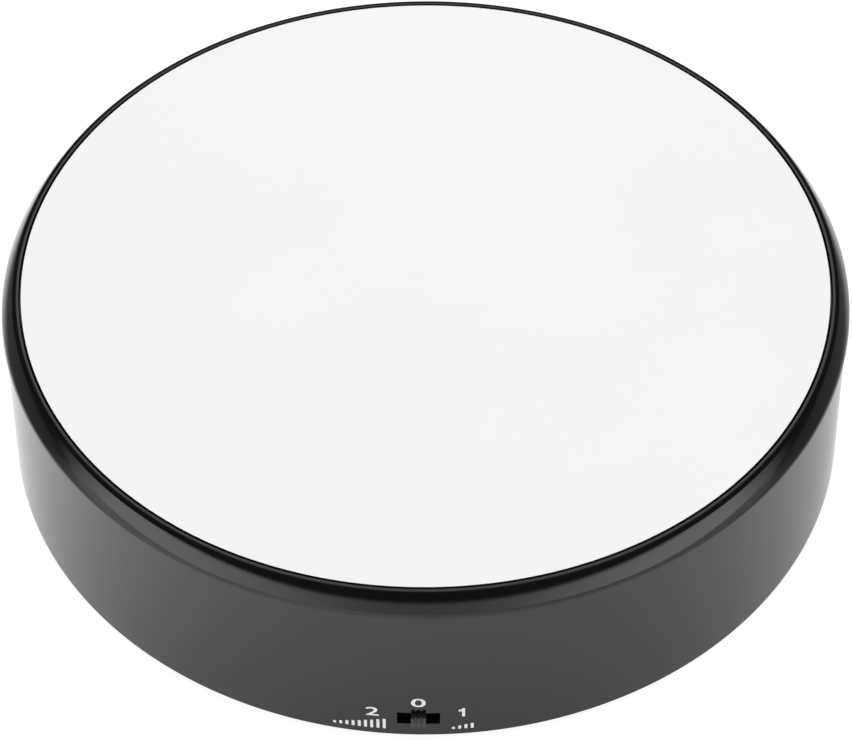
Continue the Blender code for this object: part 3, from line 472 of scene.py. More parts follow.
# %% Spark-textured plastic and rubber
def textured_plastic(name, low, high, roughness, pit_scale, depth):
    look = bpy.data.materials.new(name)
    look.use_nodes = True
    nodes, links = look.node_tree.nodes, look.node_tree.links
    nodes.clear()

    output = nodes.new("ShaderNodeOutputMaterial")
    output.label = "Finished surface"
    shader = nodes.new("ShaderNodeBsdfPrincipled")
    shader.label = "Moulded plastic"
    place = nodes.new("ShaderNodeTexCoord")
    place.label = "Place on the object"

    colour_group = nodes.new("NodeFrame")
    colour_group.label = "Colour: rubbed patches"
    rub = nodes.new("ShaderNodeTexNoise")
    rub.label = "Rubbed patches"
    rub.parent = colour_group
    rub.inputs["Scale"].default_value = 60.0
    rub.inputs["Detail"].default_value = 5.0
    colour = nodes.new("ShaderNodeValToRGB")
    colour.label = "Fresh to rubbed"
    colour.parent = colour_group
    colour.color_ramp.elements[0].position = 0.35
    colour.color_ramp.elements[0].color = (*low, 1.0)
    colour.color_ramp.elements[1].position = 0.75
    colour.color_ramp.elements[1].color = (*high, 1.0)
    dull = nodes.new("ShaderNodeMapRange")
    dull.label = "Rubbed places shine a little"
    dull.parent = colour_group
    dull.inputs["To Min"].default_value = roughness + 0.08
    dull.inputs["To Max"].default_value = roughness - 0.08

    pit_group = nodes.new("NodeFrame")
    pit_group.label = "Spark pits"
    pits = nodes.new("ShaderNodeTexVoronoi")
    pits.label = "Pits from the mould"
    pits.parent = pit_group
    pits.inputs["Scale"].default_value = pit_scale
    bump = nodes.new("ShaderNodeBump")
    bump.label = "Pit depth"
    bump.parent = pit_group
    bump.inputs["Strength"].default_value = 0.5
    bump.inputs["Distance"].default_value = depth

    for spot, node in (((-700, 0), place), ((-460, 200), rub), ((-220, 300), colour),
                       ((-220, 60), dull), ((-460, -240), pits), ((-220, -240), bump),
                       ((120, 0), shader), ((420, 0), output)):
        node.location = spot
    links.new(place.outputs["Object"], rub.inputs["Vector"])
    links.new(place.outputs["Object"], pits.inputs["Vector"])
    links.new(rub.outputs["Fac"], colour.inputs["Fac"])
    links.new(colour.outputs["Color"], shader.inputs["Base Color"])
    links.new(rub.outputs["Fac"], dull.inputs["Value"])
    links.new(dull.outputs["Result"], shader.inputs["Roughness"])
    links.new(pits.outputs["Distance"], bump.inputs["Height"])
    links.new(bump.outputs["Normal"], shader.inputs["Normal"])
    links.new(shader.outputs["BSDF"], output.inputs["Surface"])
    return look


cover_black = textured_plastic("Textured black, cover", (0.012, 0.012, 0.013), (0.022, 0.022, 0.023),
                               0.5, 4200.0, 0.00006)
knob_black = textured_plastic("Textured black, knob", (0.014, 0.014, 0.015), (0.04, 0.04, 0.04),
                              0.36, 6000.0, 0.00003)
foot_rubber = textured_plastic("Foot rubber", (0.02, 0.02, 0.02), (0.045, 0.044, 0.042),
                               0.85, 2500.0, 0.00008)
gear_nylon = textured_plastic("Natural nylon", (0.72, 0.7, 0.63), (0.82, 0.8, 0.74),
                              0.38, 900.0, 0.00002)
roller_nylon = textured_plastic("Roller nylon", (0.62, 0.61, 0.58), (0.74, 0.73, 0.7),
                                0.5, 900.0, 0.00004)
gear_nylon.node_tree.nodes["Principled BSDF"].inputs["Subsurface Weight"].default_value = 0.15
gear_nylon.node_tree.nodes["Principled BSDF"].inputs["Subsurface Scale"].default_value = 0.001
print("made five moulded finishes")

# %% [markdown]
# ## Material: metals
#
# Screws, pins and the motor can are plated steel, and the bushes and terminals are brass. Both are
# the same metal shader with a different tint. Stretched noise gives the fine drawn lines that a
# tool or a die leaves, and a second noise dulls the plating in spots.

# %% Plated steel and brass
def metal(name, bright, dull_tint, roughness, stretch):
    look = bpy.data.materials.new(name)
    look.use_nodes = True
    nodes, links = look.node_tree.nodes, look.node_tree.links
    nodes.clear()

    output = nodes.new("ShaderNodeOutputMaterial")
    output.label = "Finished surface"
    shader = nodes.new("ShaderNodeBsdfPrincipled")
    shader.label = "Metal"
    shader.inputs["Metallic"].default_value = 1.0
    place = nodes.new("ShaderNodeTexCoord")
    place.label = "Place on the object"

    line_group = nodes.new("NodeFrame")
    line_group.label = "Drawn lines"
    squeeze = nodes.new("ShaderNodeMapping")
    squeeze.label = "Stretch noise into lines"
    squeeze.parent = line_group
    squeeze.inputs["Scale"].default_value = stretch
    lines = nodes.new("ShaderNodeTexNoise")
    lines.label = "Drawn lines"
    lines.parent = line_group
    lines.inputs["Scale"].default_value = 500.0
    lines.inputs["Detail"].default_value = 4.0
    bump = nodes.new("ShaderNodeBump")
    bump.label = "Line depth"
    bump.parent = line_group
    bump.inputs["Strength"].default_value = 0.12
    bump.inputs["Distance"].default_value = 0.00002

    plating_group = nodes.new("NodeFrame")
    plating_group.label = "Plating, dulled in spots"
    spots = nodes.new("ShaderNodeTexNoise")
    spots.label = "Dull spots"
    spots.parent = plating_group
    spots.inputs["Scale"].default_value = 240.0
    spots.inputs["Detail"].default_value = 6.0
    colour = nodes.new("ShaderNodeValToRGB")
    colour.label = "Bright to dull"
    colour.parent = plating_group
    colour.color_ramp.elements[0].position = 0.42
    colour.color_ramp.elements[0].color = (*bright, 1.0)
    colour.color_ramp.elements[1].position = 0.72
    colour.color_ramp.elements[1].color = (*dull_tint, 1.0)
    rough = nodes.new("ShaderNodeMapRange")
    rough.label = "Dull spots are rougher"
    rough.parent = plating_group
    rough.inputs["To Min"].default_value = roughness - 0.08
    rough.inputs["To Max"].default_value = roughness + 0.14

    for spot, node in (((-860, 0), place), ((-640, -240), squeeze), ((-440, -240), lines),
                       ((-200, -240), bump), ((-440, 200), spots), ((-200, 300), colour),
                       ((-200, 60), rough), ((140, 0), shader), ((440, 0), output)):
        node.location = spot
    links.new(place.outputs["Object"], squeeze.inputs["Vector"])
    links.new(squeeze.outputs["Vector"], lines.inputs["Vector"])
    links.new(lines.outputs["Fac"], bump.inputs["Height"])
    links.new(bump.outputs["Normal"], shader.inputs["Normal"])
    links.new(place.outputs["Object"], spots.inputs["Vector"])
    links.new(spots.outputs["Fac"], colour.inputs["Fac"])
    links.new(colour.outputs["Color"], shader.inputs["Base Color"])
    links.new(spots.outputs["Fac"], rough.inputs["Value"])
    links.new(rough.outputs["Result"], shader.inputs["Roughness"])
    links.new(shader.outputs["BSDF"], output.inputs["Surface"])
    return look


zinc = metal("Plated steel", (0.6, 0.6, 0.62), (0.36, 0.36, 0.37), 0.3, (1, 1, 12))
drawn_steel = metal("Drawn steel", (0.68, 0.68, 0.69), (0.45, 0.45, 0.46), 0.24, (1, 1, 0.08))
tinned = metal("Tinned sheet, dulled", (0.2, 0.2, 0.21), (0.1, 0.1, 0.1), 0.42, (1, 1, 6))
turned_brass = metal("Turned brass", (0.78, 0.56, 0.24), (0.46, 0.31, 0.13), 0.28, (1, 1, 10))
print("made", zinc.name, drawn_steel.name, tinned.name, turned_brass.name)

# %% [markdown]
# ## The base wall and deck
#
# The base is one moulding: an upright wall, a small rounded shoulder and a flat deck under the
# platter. It could be carved from a cylinder, but turning a rounded half section gives clean,
# continuous reflections, which a glossy black wall shows mercilessly. The slot for the switch and
# the four roller pockets are then cut through it, and the posts that screws bite into are added.

# %% Turn the base moulding
inner = WALL_RADIUS - WALL_THICK
WELL_OUTER, WELL_RADIUS, THROUGH = 9.4 * MM, 7.2 * MM, 4.2 * MM
WELL_LOW = 28.4 * MM
base_section = rounded([
    (WALL_RADIUS, WALL_FOOT, 0.35 * MM), (WALL_RADIUS, DECK_TOP, 0.1 * MM),
    (WELL_RADIUS, DECK_TOP, 0.3 * MM), (WELL_RADIUS, WELL_LOW + MM, 0.1 * MM),
    (THROUGH, WELL_LOW + MM, 0.1 * MM), (THROUGH, WELL_LOW, 0.1 * MM),
    (WELL_OUTER, WELL_LOW, 0.3 * MM), (WELL_OUTER, DECK_UNDER, 0.5 * MM),
    (inner, DECK_UNDER, 0.8 * MM), (inner, WALL_FOOT, 0.3 * MM)])
base = turned("base_wall_and_deck", base_section)
print("base section has", len(base_section), "points")


# %% Cutters for the slot, the roller pockets and the pin grooves
def block(x_span, y_span, z_span, turn=0.0):
    """A box between two corners, turned about Z; used to cut and to build."""
    bm = bmesh.new()
    bmesh.ops.create_cube(bm, size=1.0)
    spans = (x_span, y_span, z_span)
    size = Matrix.Diagonal([high - low for low, high in spans] + [1.0])
    centre = Matrix.Translation([(low + high) / 2 for low, high in spans])
    bmesh.ops.transform(bm, matrix=Matrix.Rotation(turn, 4, "Z") @ centre @ size, verts=bm.verts)
    return bm


def round_bar(start, end, radius, sides=24):
    start, end = Vector(start), Vector(end)
    bm = bmesh.new()
    bmesh.ops.create_cone(bm, cap_ends=True, segments=sides, radius1=radius, radius2=radius,
                          depth=(end - start).length)
    aim = (end - start).to_track_quat("Z", "Y").to_matrix().to_4x4()
    bmesh.ops.transform(bm, matrix=Matrix.Translation((start + end) / 2) @ aim, verts=bm.verts)
    return bm


def combine(piece, tools, operation):
    """Cut or join with each tool in turn, then settle the result."""
    for number, tool_mesh in enumerate(tools):
        tool = mesh_object(f"tool_{number}", tool_mesh)
        step = piece.modifiers.new("Shape", "BOOLEAN")
        step.operation = operation
        step.object = tool
        step.solver = "EXACT"
        settled(piece)
        bpy.data.objects.remove(tool)
    return piece


def middle(node):
    low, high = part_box(node)
    return (low + high) / 2


roller_turns = [math.atan2(middle(f"roller_{k}").y, middle(f"roller_{k}").x) for k in range(1, 5)]
roller_ring = middle("roller_1").to_2d().length
roller_z = middle("roller_1").z
SWITCH_Z = middle("switch_knob").z
SLOT_HALF, SLOT_HEIGHT = 4.45 * MM, 3.5 * MM
COVER_POST, COVER_POST_LOW = 4 * MM, 6.7 * MM          # radius and lower end of each kind of post
PLATE_POST, PLATE_POST_LOW = 3.4 * MM, 14.3 * MM
AXLE_POST, AXLE_POST_LOW = 2.6 * MM, 35.2 * MM
BOARD_POST, SMALL_HOLE = 2.4 * MM, 1.3 * MM
SCREW_HOLE = 1.6 * MM
BOARD_SCREW_X, BOARD_SCREW_Z = 9.5 * MM, 13 * MM
CHEEK_LOW, CHEEK_THICK, CHEEK_HALF = 33.4 * MM, 2.1 * MM, 2.6 * MM  # cheeks that hold a roller's pin
POCKET_LONG, POCKET_WIDE = 4.7 * MM, 3.3 * MM          # half sizes of a roller's pocket
CHEEK_REACH, PIN_REACH, PIN_HALF = 5.4 * MM, 5.2 * MM, 1.1 * MM

posts = []
for k in range(1, 6):
    spot = middle(f"cover_screw_{k}")
    posts.append(round_bar((spot.x, spot.y, COVER_POST_LOW), (spot.x, spot.y, DECK_UNDER + MM),
                           COVER_POST))
for k in range(1, 4):
    spot = middle(f"gear_plate_screw_{k}")
    posts.append(round_bar((spot.x, spot.y, PLATE_POST_LOW), (spot.x, spot.y, DECK_UNDER + MM),
                           PLATE_POST))
    spot = middle(f"axle_{k}")
    posts.append(round_bar((spot.x, spot.y, AXLE_POST_LOW), (spot.x, spot.y, DECK_UNDER + MM),
                           AXLE_POST))
for side in (-1, 1):
    x, z = side * BOARD_SCREW_X, BOARD_SCREW_Z
    posts.append(round_bar((x, -88.6 * MM, z), (x, -82.5 * MM, z), BOARD_POST))
for turn in roller_turns:
    for near in (roller_ring - CHEEK_REACH, roller_ring + POCKET_WIDE):
        posts.append(block((near, near + CHEEK_THICK), (-CHEEK_HALF, CHEEK_HALF),
                           (CHEEK_LOW, DECK_UNDER + MM), turn))
combine(base, posts, "UNION")

holes = []
for k in range(1, 6):
    spot = middle(f"cover_screw_{k}")
    holes.append(round_bar((spot.x, spot.y, 5 * MM), (spot.x, spot.y, 17 * MM), SCREW_HOLE, 16))
for k in range(1, 4):
    spot = middle(f"gear_plate_screw_{k}")
    holes.append(round_bar((spot.x, spot.y, 13 * MM), (spot.x, spot.y, 26 * MM), SCREW_HOLE, 16))
    spot = middle(f"axle_{k}")
    holes.append(round_bar((spot.x, spot.y, 34 * MM), (spot.x, spot.y, 37.3 * MM), SMALL_HOLE, 16))
for side in (-1, 1):
    x, z = side * BOARD_SCREW_X, BOARD_SCREW_Z
    holes.append(round_bar((x, -81 * MM, z), (x, -87.4 * MM, z), SMALL_HOLE, 16))
for turn in roller_turns:
    holes.append(block((roller_ring - POCKET_WIDE, roller_ring + POCKET_WIDE),
                       (-POCKET_LONG, POCKET_LONG), (30 * MM, 41 * MM), turn))
    holes.append(block((roller_ring - PIN_REACH, roller_ring + PIN_REACH), (-PIN_HALF, PIN_HALF),
                       (roller_z - PIN_HALF, 42 * MM), turn))
combine(base, holes, "DIFFERENCE")
slot_cut = block((-SLOT_HALF, SLOT_HALF), (-WALL_RADIUS - 2 * MM, -WALL_RADIUS + 5 * MM),
                 (SWITCH_Z - SLOT_HEIGHT / 2, SWITCH_Z + SLOT_HEIGHT / 2))
combine(base, [slot_cut], "DIFFERENCE")
keep(base, "base", "black_gloss", wall_black, "base_shell")
print("base has", len(base.data.polygons), "faces")

# %% [markdown]
# ## The platter
#
# The platter is a shallow dish upside down: its floor carries the white plate, and a rim stands
# round it. From the inside out, the rim is a narrow flat land, a tightly rounded crown and a long,
# nearly straight skirt. The skirt is a very shallow arc that leaves the crown without a crease. The
# eight ribs below the floor are all alike and evenly spaced, which is a rule, so a small Geometry
# Nodes tree sets them out.

# %% Section of the rim: crown and skirt
def arc(centre, radius, start, end, steps):
    """Points of an arc; the angles are those of its outward normal above the horizontal."""
    turns = [start + (end - start) * k / steps for k in range(steps + 1)]
    return [(centre.x + radius * math.cos(t), centre.y + radius * math.sin(t)) for t in turns]


crown = arc(Vector((CROWN_START, TOP - CROWN_ROUND)), CROWN_ROUND, math.pi / 2, CROWN_END, 12)
skirt_top, skirt_foot = Vector(crown[-1]), Vector((SKIRT_RADIUS, SKIRT_FOOT))
skirt_round = (skirt_foot - skirt_top).length / 2 / math.sin((CROWN_END - SKIRT_LEAN) / 2)
skirt_centre = skirt_top - skirt_round * Vector((math.cos(CROWN_END), math.sin(CROWN_END)))
skirt = arc(skirt_centre, skirt_round, CROWN_END, SKIRT_LEAN, 8)
skirt_miss = (Vector(skirt[-1]) - skirt_foot).length
print("skirt radius", round(skirt_round / MM, 1), "mm, misses its foot by", round(skirt_miss / MM, 3))

# %% Turn the platter
HUB_RADIUS = 5.6 * MM
HUB_HOLE, HUB_RECESS, HUB_BORE = 1.6 * MM, 3.6 * MM, 3.3 * MM  # for the screw, its head and the shaft
HUB_SEAT, SHAFT_STOP = 41.2 * MM, 39.9 * MM
SKIRT_WIDTH, SKIRT_INNER = 1.8 * MM, 88.0 * MM
rim = [(radius, height, 0) for radius, height in crown + skirt[1:-1]]
platter_section = rounded(
    [(HUB_HOLE, HUB_SEAT, 0), (HUB_RECESS, HUB_SEAT, 0.1 * MM),
     (HUB_RECESS, PLATTER_FLOOR, 0.2 * MM), (LAND_INNER, PLATTER_FLOOR, 0.1 * MM),
     (LAND_INNER, TOP, 0.1 * MM)] + rim + [
        (SKIRT_RADIUS, SKIRT_FOOT, 0.1 * MM), (SKIRT_RADIUS - SKIRT_WIDTH, SKIRT_FOOT, 0.25 * MM),
        (SKIRT_INNER, PLATTER_UNDER, 0.3 * MM), (HUB_RADIUS, PLATTER_UNDER, 0.4 * MM),
        (HUB_RADIUS, HUB_LOW, 0.3 * MM), (HUB_BORE, HUB_LOW, 0.2 * MM),
        (HUB_BORE, SHAFT_STOP, 0.1 * MM), (HUB_HOLE, SHAFT_STOP, 0)])
platter = turned("platter_dish", platter_section)
print("platter section has", len(platter_section), "points")


# %% A tree that repeats one small mesh round a ring
def ring_tree():
    """Geometry Nodes: copies of an object, evenly spaced round a ring and facing outward."""
    tree = bpy.data.node_groups.new("Copies on a ring", "GeometryNodeTree")
    tree.interface.new_socket("Geometry", in_out="OUTPUT", socket_type="NodeSocketGeometry")
    tree.interface.new_socket("Pattern piece", in_out="INPUT", socket_type="NodeSocketObject")
    tree.interface.new_socket("Count", in_out="INPUT", socket_type="NodeSocketInt")
    tree.interface.new_socket("Ring radius", in_out="INPUT", socket_type="NodeSocketFloat")
    tree.interface.new_socket("First angle", in_out="INPUT", socket_type="NodeSocketFloat")
    tree.interface.new_socket("Finish", in_out="INPUT", socket_type="NodeSocketMaterial")
    nodes, links = tree.nodes, tree.links

    sizes = nodes.new("NodeGroupInput")
    sizes.label = "Sizes"
    count = nodes.new("GeometryNodePoints")
    count.label = "One point per copy"
    number = nodes.new("GeometryNodeInputIndex")
    number.label = "Which copy"
    share = nodes.new("ShaderNodeMath")
    share.label = "Share of the turn"
    share.operation = "DIVIDE"
    angle = nodes.new("ShaderNodeMath")
    angle.label = "Share times full turn, plus first angle"
    angle.operation = "MULTIPLY_ADD"
    angle.inputs[1].default_value = math.tau
    spin = nodes.new("ShaderNodeCombineXYZ")
    spin.label = "Turn about Z"
    arm = nodes.new("ShaderNodeCombineXYZ")
    arm.label = "Out along X by the radius"
    swing = nodes.new("ShaderNodeVectorRotate")
    swing.label = "Swing the arm round"
    swing.rotation_type = "Z_AXIS"
    put = nodes.new("GeometryNodeSetPosition")
    put.label = "Points on the ring"
    piece = nodes.new("GeometryNodeObjectInfo")
    piece.label = "The pattern piece"
    copies = nodes.new("GeometryNodeInstanceOnPoints")
    copies.label = "A copy on each point"
    real = nodes.new("GeometryNodeRealizeInstances")
    real.label = "Make the copies real"
    paint = nodes.new("GeometryNodeSetMaterial")
    paint.label = "Give them the finish"
    result = nodes.new("NodeGroupOutput")
    result.label = "Ring of pieces"

    for column, node in enumerate((sizes, number, share, angle, spin, arm, swing, count, put,
                                   piece, copies, real, paint, result)):
        node.location = (200 * column - 1200, -120 * (column % 3))
    links.new(sizes.outputs["Count"], count.inputs["Count"])
    links.new(number.outputs["Index"], share.inputs[0])
    links.new(sizes.outputs["Count"], share.inputs[1])
    links.new(share.outputs["Value"], angle.inputs[0])
    links.new(sizes.outputs["First angle"], angle.inputs[2])
    links.new(angle.outputs["Value"], spin.inputs["Z"])
    links.new(sizes.outputs["Ring radius"], arm.inputs["X"])
    links.new(arm.outputs["Vector"], swing.inputs["Vector"])
    links.new(angle.outputs["Value"], swing.inputs["Angle"])
    links.new(count.outputs["Points"], put.inputs["Geometry"])
    links.new(swing.outputs["Vector"], put.inputs["Position"])
    links.new(sizes.outputs["Pattern piece"], piece.inputs["Object"])
    links.new(put.outputs["Geometry"], copies.inputs["Points"])
    links.new(piece.outputs["Geometry"], copies.inputs["Instance"])
    links.new(spin.outputs["Vector"], copies.inputs["Rotation"])
    links.new(copies.outputs["Instances"], real.inputs["Geometry"])
    links.new(real.outputs["Geometry"], paint.inputs["Geometry"])
    links.new(sizes.outputs["Finish"], paint.inputs["Material"])
    links.new(paint.outputs["Geometry"], result.inputs["Geometry"])
    return tree


copies_on_a_ring = ring_tree()


def ring_of(name, pattern, count, radius, first_angle, look):
    """A plain mesh of `count` copies of a pattern piece round the axis."""
    holder = bpy.data.objects.new(name, bpy.data.meshes.new(name))
    bpy.context.scene.collection.objects.link(holder)
    step = holder.modifiers.new("Ring", "NODES")
    step.node_group = copies_on_a_ring
    values = {"Pattern piece": pattern, "Count": count, "Ring radius": radius,
              "First angle": first_angle, "Finish": look}
    for socket in copies_on_a_ring.interface.items_tree:
        if socket.in_out == "INPUT":
            step[socket.identifier] = values[socket.name]
    settled(holder)
    bpy.data.objects.remove(pattern)
    print(name, "has", len(holder.data.polygons), "faces in", count, "copies")
    return holder


# %% Ribs under the platter's floor
rib_low, rib_high = 39.7 * MM, PLATTER_UNDER + 0.3 * MM
RIBS, RIB_END, RIB_HALF = 8, 70 * MM, 0.7 * MM
rib = mesh_object("rib", block((HUB_RADIUS - 0.4 * MM, RIB_END), (-RIB_HALF, RIB_HALF),
                               (rib_low, rib_high)))
soften = rib.modifiers.new("Broken edges", "BEVEL")
soften.width = 0.25 * MM
soften.segments = 3
settled(rib)
ribs = ring_of("platter_ribs", rib, RIBS, 0.0, 0.0, platter_black)
keep(platter, "platter", "black_gloss", platter_black, "platter")
keep(ribs, "platter", "black_gloss", platter_black)

# %% [markdown]
# ## The white plate
#
# The plate drops into the platter with a hair of room all round. That hair is the fine dark line
# that the eye reads as a separate piece, so the plate's edge is broken very slightly and stands
# level with the rim.

# %% Turn the plate
plate = turned("display_plate", rounded([
    (0, DISC_LOW, 0), (DISC_RADIUS, DISC_LOW, 0.1 * MM), (DISC_RADIUS, TOP, 0.18 * MM),
    (0, TOP, 0)], 3))
keep(plate, "platter", "white_plate", plate_white, "top_disc")
print("plate is", round(DISC_RADIUS * 2 / MM, 1), "mm across")

# %% [markdown]
# ## Printed switch marks
#
# The switch has plain marks beside it, printed in white ink: 0 for off, 2 and 1 for the two
# speeds, and a row of rising bars that is long for fast and short for slow. Flat marks floated in
# front of a round wall would look wrong from the side, so they are sliced into narrow upright
# strips and wrapped onto the wall, a few hundredths of a millimetre proud like real ink.

# %% White ink
def printing_ink():
    look = bpy.data.materials.new("White printing ink")
    look.use_nodes = True
    nodes, links = look.node_tree.nodes, look.node_tree.links
    nodes.clear()
    output = nodes.new("ShaderNodeOutputMaterial")
    output.label = "Finished surface"
    shader = nodes.new("ShaderNodeBsdfPrincipled")
    shader.label = "Ink film"
    shader.inputs["Roughness"].default_value = 0.45
    place = nodes.new("ShaderNodeTexCoord")
    place.label = "Place on the object"
    ink_group = nodes.new("NodeFrame")
    ink_group.label = "Ink lies a little unevenly"
    film = nodes.new("ShaderNodeTexNoise")
    film.label = "Film thickness"
    film.parent = ink_group
    film.inputs["Scale"].default_value = 1800.0
    film.inputs["Detail"].default_value = 4.0
    cover = nodes.new("ShaderNodeValToRGB")
    cover.label = "Thin ink greys slightly"
    cover.parent = ink_group
    cover.color_ramp.elements[0].position = 0.25
    cover.color_ramp.elements[0].color = (0.74, 0.74, 0.74, 1.0)
    cover.color_ramp.elements[1].position = 0.55
    cover.color_ramp.elements[1].color = (0.93, 0.93, 0.93, 1.0)
    bump = nodes.new("ShaderNodeBump")
    bump.label = "Film relief"
    bump.parent = ink_group
    bump.inputs["Strength"].default_value = 0.2
    bump.inputs["Distance"].default_value = 0.00002
    for column, node in enumerate((place, film, cover, bump, shader, output)):
        node.location = (230 * column - 700, 0)
    links.new(place.outputs["Object"], film.inputs["Vector"])
    links.new(film.outputs["Fac"], cover.inputs["Fac"])
    links.new(cover.outputs["Color"], shader.inputs["Base Color"])
    links.new(film.outputs["Fac"], bump.inputs["Height"])
    links.new(bump.outputs["Normal"], shader.inputs["Normal"])
    links.new(shader.outputs["BSDF"], output.inputs["Surface"])
    return look


ink_white = printing_ink()

# %% Figures and bars, laid flat and then wrapped
INK = 0.04 * MM
STRIP = 0.4 * MM


def flat_figure(text, left, right, low, high):
    """A figure as a thin flat mesh that fills a box: X along the wall, Y up, Z out of it."""
    curve = bpy.data.curves.new(text, "FONT")
    curve.body = text
    curve.extrude = 0.5
    curve.offset = 0.012
    curve.resolution_u = 6
    source = bpy.data.objects.new(text, curve)
    bpy.context.scene.collection.objects.link(source)
    graph = bpy.context.evaluated_depsgraph_get()
    mesh = bpy.data.meshes.new_from_object(source.evaluated_get(graph))
    bpy.data.objects.remove(source)
    bm = bmesh.new()
    bm.from_mesh(mesh)
    bpy.data.meshes.remove(mesh)
    bmesh.ops.remove_doubles(bm, verts=bm.verts, dist=1e-5)
    xs = [v.co.x for v in bm.verts]
    ys = [v.co.y for v in bm.verts]
    wide = (right - left) / (max(xs) - min(xs))
    tall = (high - low) / (max(ys) - min(ys))
    for vert in bm.verts:
        vert.co = (left + (vert.co.x - min(xs)) * wide, low + (vert.co.y - min(ys)) * tall,
                   vert.co.z)
    return bm


def wrapped(name, flats, radius):
    """Join flat marks, slice them into strips and bend them round the front of a wall."""
    whole = bmesh.new()
    for flat in flats:
        mesh = bpy.data.meshes.new("mark")
        flat.to_mesh(mesh)
        flat.free()
        whole.from_mesh(mesh)
        bpy.data.meshes.remove(mesh)
    first = min(v.co.x for v in whole.verts)
    last = max(v.co.x for v in whole.verts)
    for k in range(1, int((last - first) / STRIP) + 1):
        bmesh.ops.bisect_plane(whole, geom=whole.verts[:] + whole.edges[:] + whole.faces[:],
                               plane_co=(first + k * STRIP, 0, 0), plane_no=(1, 0, 0))
    for vert in whole.verts:
        along, up, out = vert.co
        angle = along / radius
        reach = radius + out * INK
        vert.co = (reach * math.sin(angle), -reach * math.cos(angle), up)
    bmesh.ops.recalc_face_normals(whole, faces=whole.faces)
    return mesh_object(name, whole)


BAR_WIDTH, BAR_PITCH, BAR_FIRST, BAR_GROWTH = 0.6 * MM, 1.3 * MM, 0.7 * MM, 0.3 * MM
MARK_FOOT = WALL_FOOT + 1.9 * MM
FIGURE_HEIGHT = 2.7 * MM
OFF_FOOT, SPEED_FOOT = 9.4 * MM, 5.9 * MM     # how far above the wall's foot the figures stand
FAST_BARS, SLOW_BARS = (-17.8 * MM, 9), (6.9 * MM, 4)   # where each row starts and how many bars


def flat_bars(left, count):
    """Rising bars: the more of them, the faster."""
    starts = [left + k * BAR_PITCH for k in range(count)]
    return [block((start, start + BAR_WIDTH), (MARK_FOOT, MARK_FOOT + BAR_FIRST + k * BAR_GROWTH),
                  (-0.5, 0.5)) for k, start in enumerate(starts)]


# The 1 is a narrow stroke, and a small block beside its top stands for its flag.
figures = [("0", -1.5, 1.5, OFF_FOOT), ("2", -10.9, -8.2, SPEED_FOOT), ("1", 9.0, 9.6, SPEED_FOOT)]
marks = [flat_figure(text, left * MM, right * MM, WALL_FOOT + low,
                     WALL_FOOT + low + FIGURE_HEIGHT) for text, left, right, low in figures]
one_top = WALL_FOOT + SPEED_FOOT + FIGURE_HEIGHT
marks.append(block((8.3 * MM, 8.98 * MM), (one_top - 0.95 * MM, one_top - 0.4 * MM), (-0.5, 0.5)))
marks += flat_bars(*FAST_BARS) + flat_bars(*SLOW_BARS)
print_marks = wrapped("switch_marks", marks, WALL_RADIUS)
keep(print_marks, "base", "white_plate", ink_white)
print("marks have", len(print_marks.data.polygons), "faces")

# %% [markdown]
# ## The switch
#
# The knob is a small stepped block with ribs that a fingertip can catch. It is the only thing on
# the wall that moves, so it stays its own piece. Its edges are broken finely, because at this size
# a mould leaves almost none. Behind it sit the switch body, its board and the resistor that sets
# the slow speed.

# %% Knob, switch body and board
def circuit_board():
    """Green lacquer over copper: tracks show as slightly paler, raised bands."""
    look = bpy.data.materials.new("Green board")
    look.use_nodes = True
    nodes, links = look.node_tree.nodes, look.node_tree.links
    nodes.clear()
    output = nodes.new("ShaderNodeOutputMaterial")
    output.label = "Finished surface"
    shader = nodes.new("ShaderNodeBsdfPrincipled")
    shader.label = "Lacquered board"
    shader.inputs["Roughness"].default_value = 0.3
    place = nodes.new("ShaderNodeTexCoord")
    place.label = "Place on the object"
    lie = nodes.new("ShaderNodeMapping")
    lie.label = "Lay the tracks on the upright board"
    lie.inputs["Rotation"].default_value = (math.pi / 2, 0, 0)
    track_group = nodes.new("NodeFrame")
    track_group.label = "Copper tracks under lacquer"
    tracks = nodes.new("ShaderNodeTexBrick")
    tracks.label = "Tracks"
    tracks.parent = track_group
    tracks.inputs["Color1"].default_value = (0.03, 0.17, 0.07, 1.0)
    tracks.inputs["Color2"].default_value = (0.035, 0.19, 0.08, 1.0)
    tracks.inputs["Mortar"].default_value = (0.07, 0.3, 0.12, 1.0)
    tracks.inputs["Scale"].default_value = 180.0
    tracks.inputs["Mortar Size"].default_value = 0.06
    bump = nodes.new("ShaderNodeBump")
    bump.label = "Tracks stand up slightly"
    bump.parent = track_group
    bump.inputs["Strength"].default_value = 0.3
    bump.inputs["Distance"].default_value = 0.00004
    for column, node in enumerate((place, lie, tracks, bump, shader, output)):
        node.location = (230 * column - 700, 0)
    links.new(place.outputs["Object"], lie.inputs["Vector"])
    links.new(lie.outputs["Vector"], tracks.inputs["Vector"])
    links.new(tracks.outputs["Color"], shader.inputs["Base Color"])
    links.new(tracks.outputs["Fac"], bump.inputs["Height"])
    links.new(bump.outputs["Normal"], shader.inputs["Normal"])
    links.new(shader.outputs["BSDF"], output.inputs["Surface"])
    return look


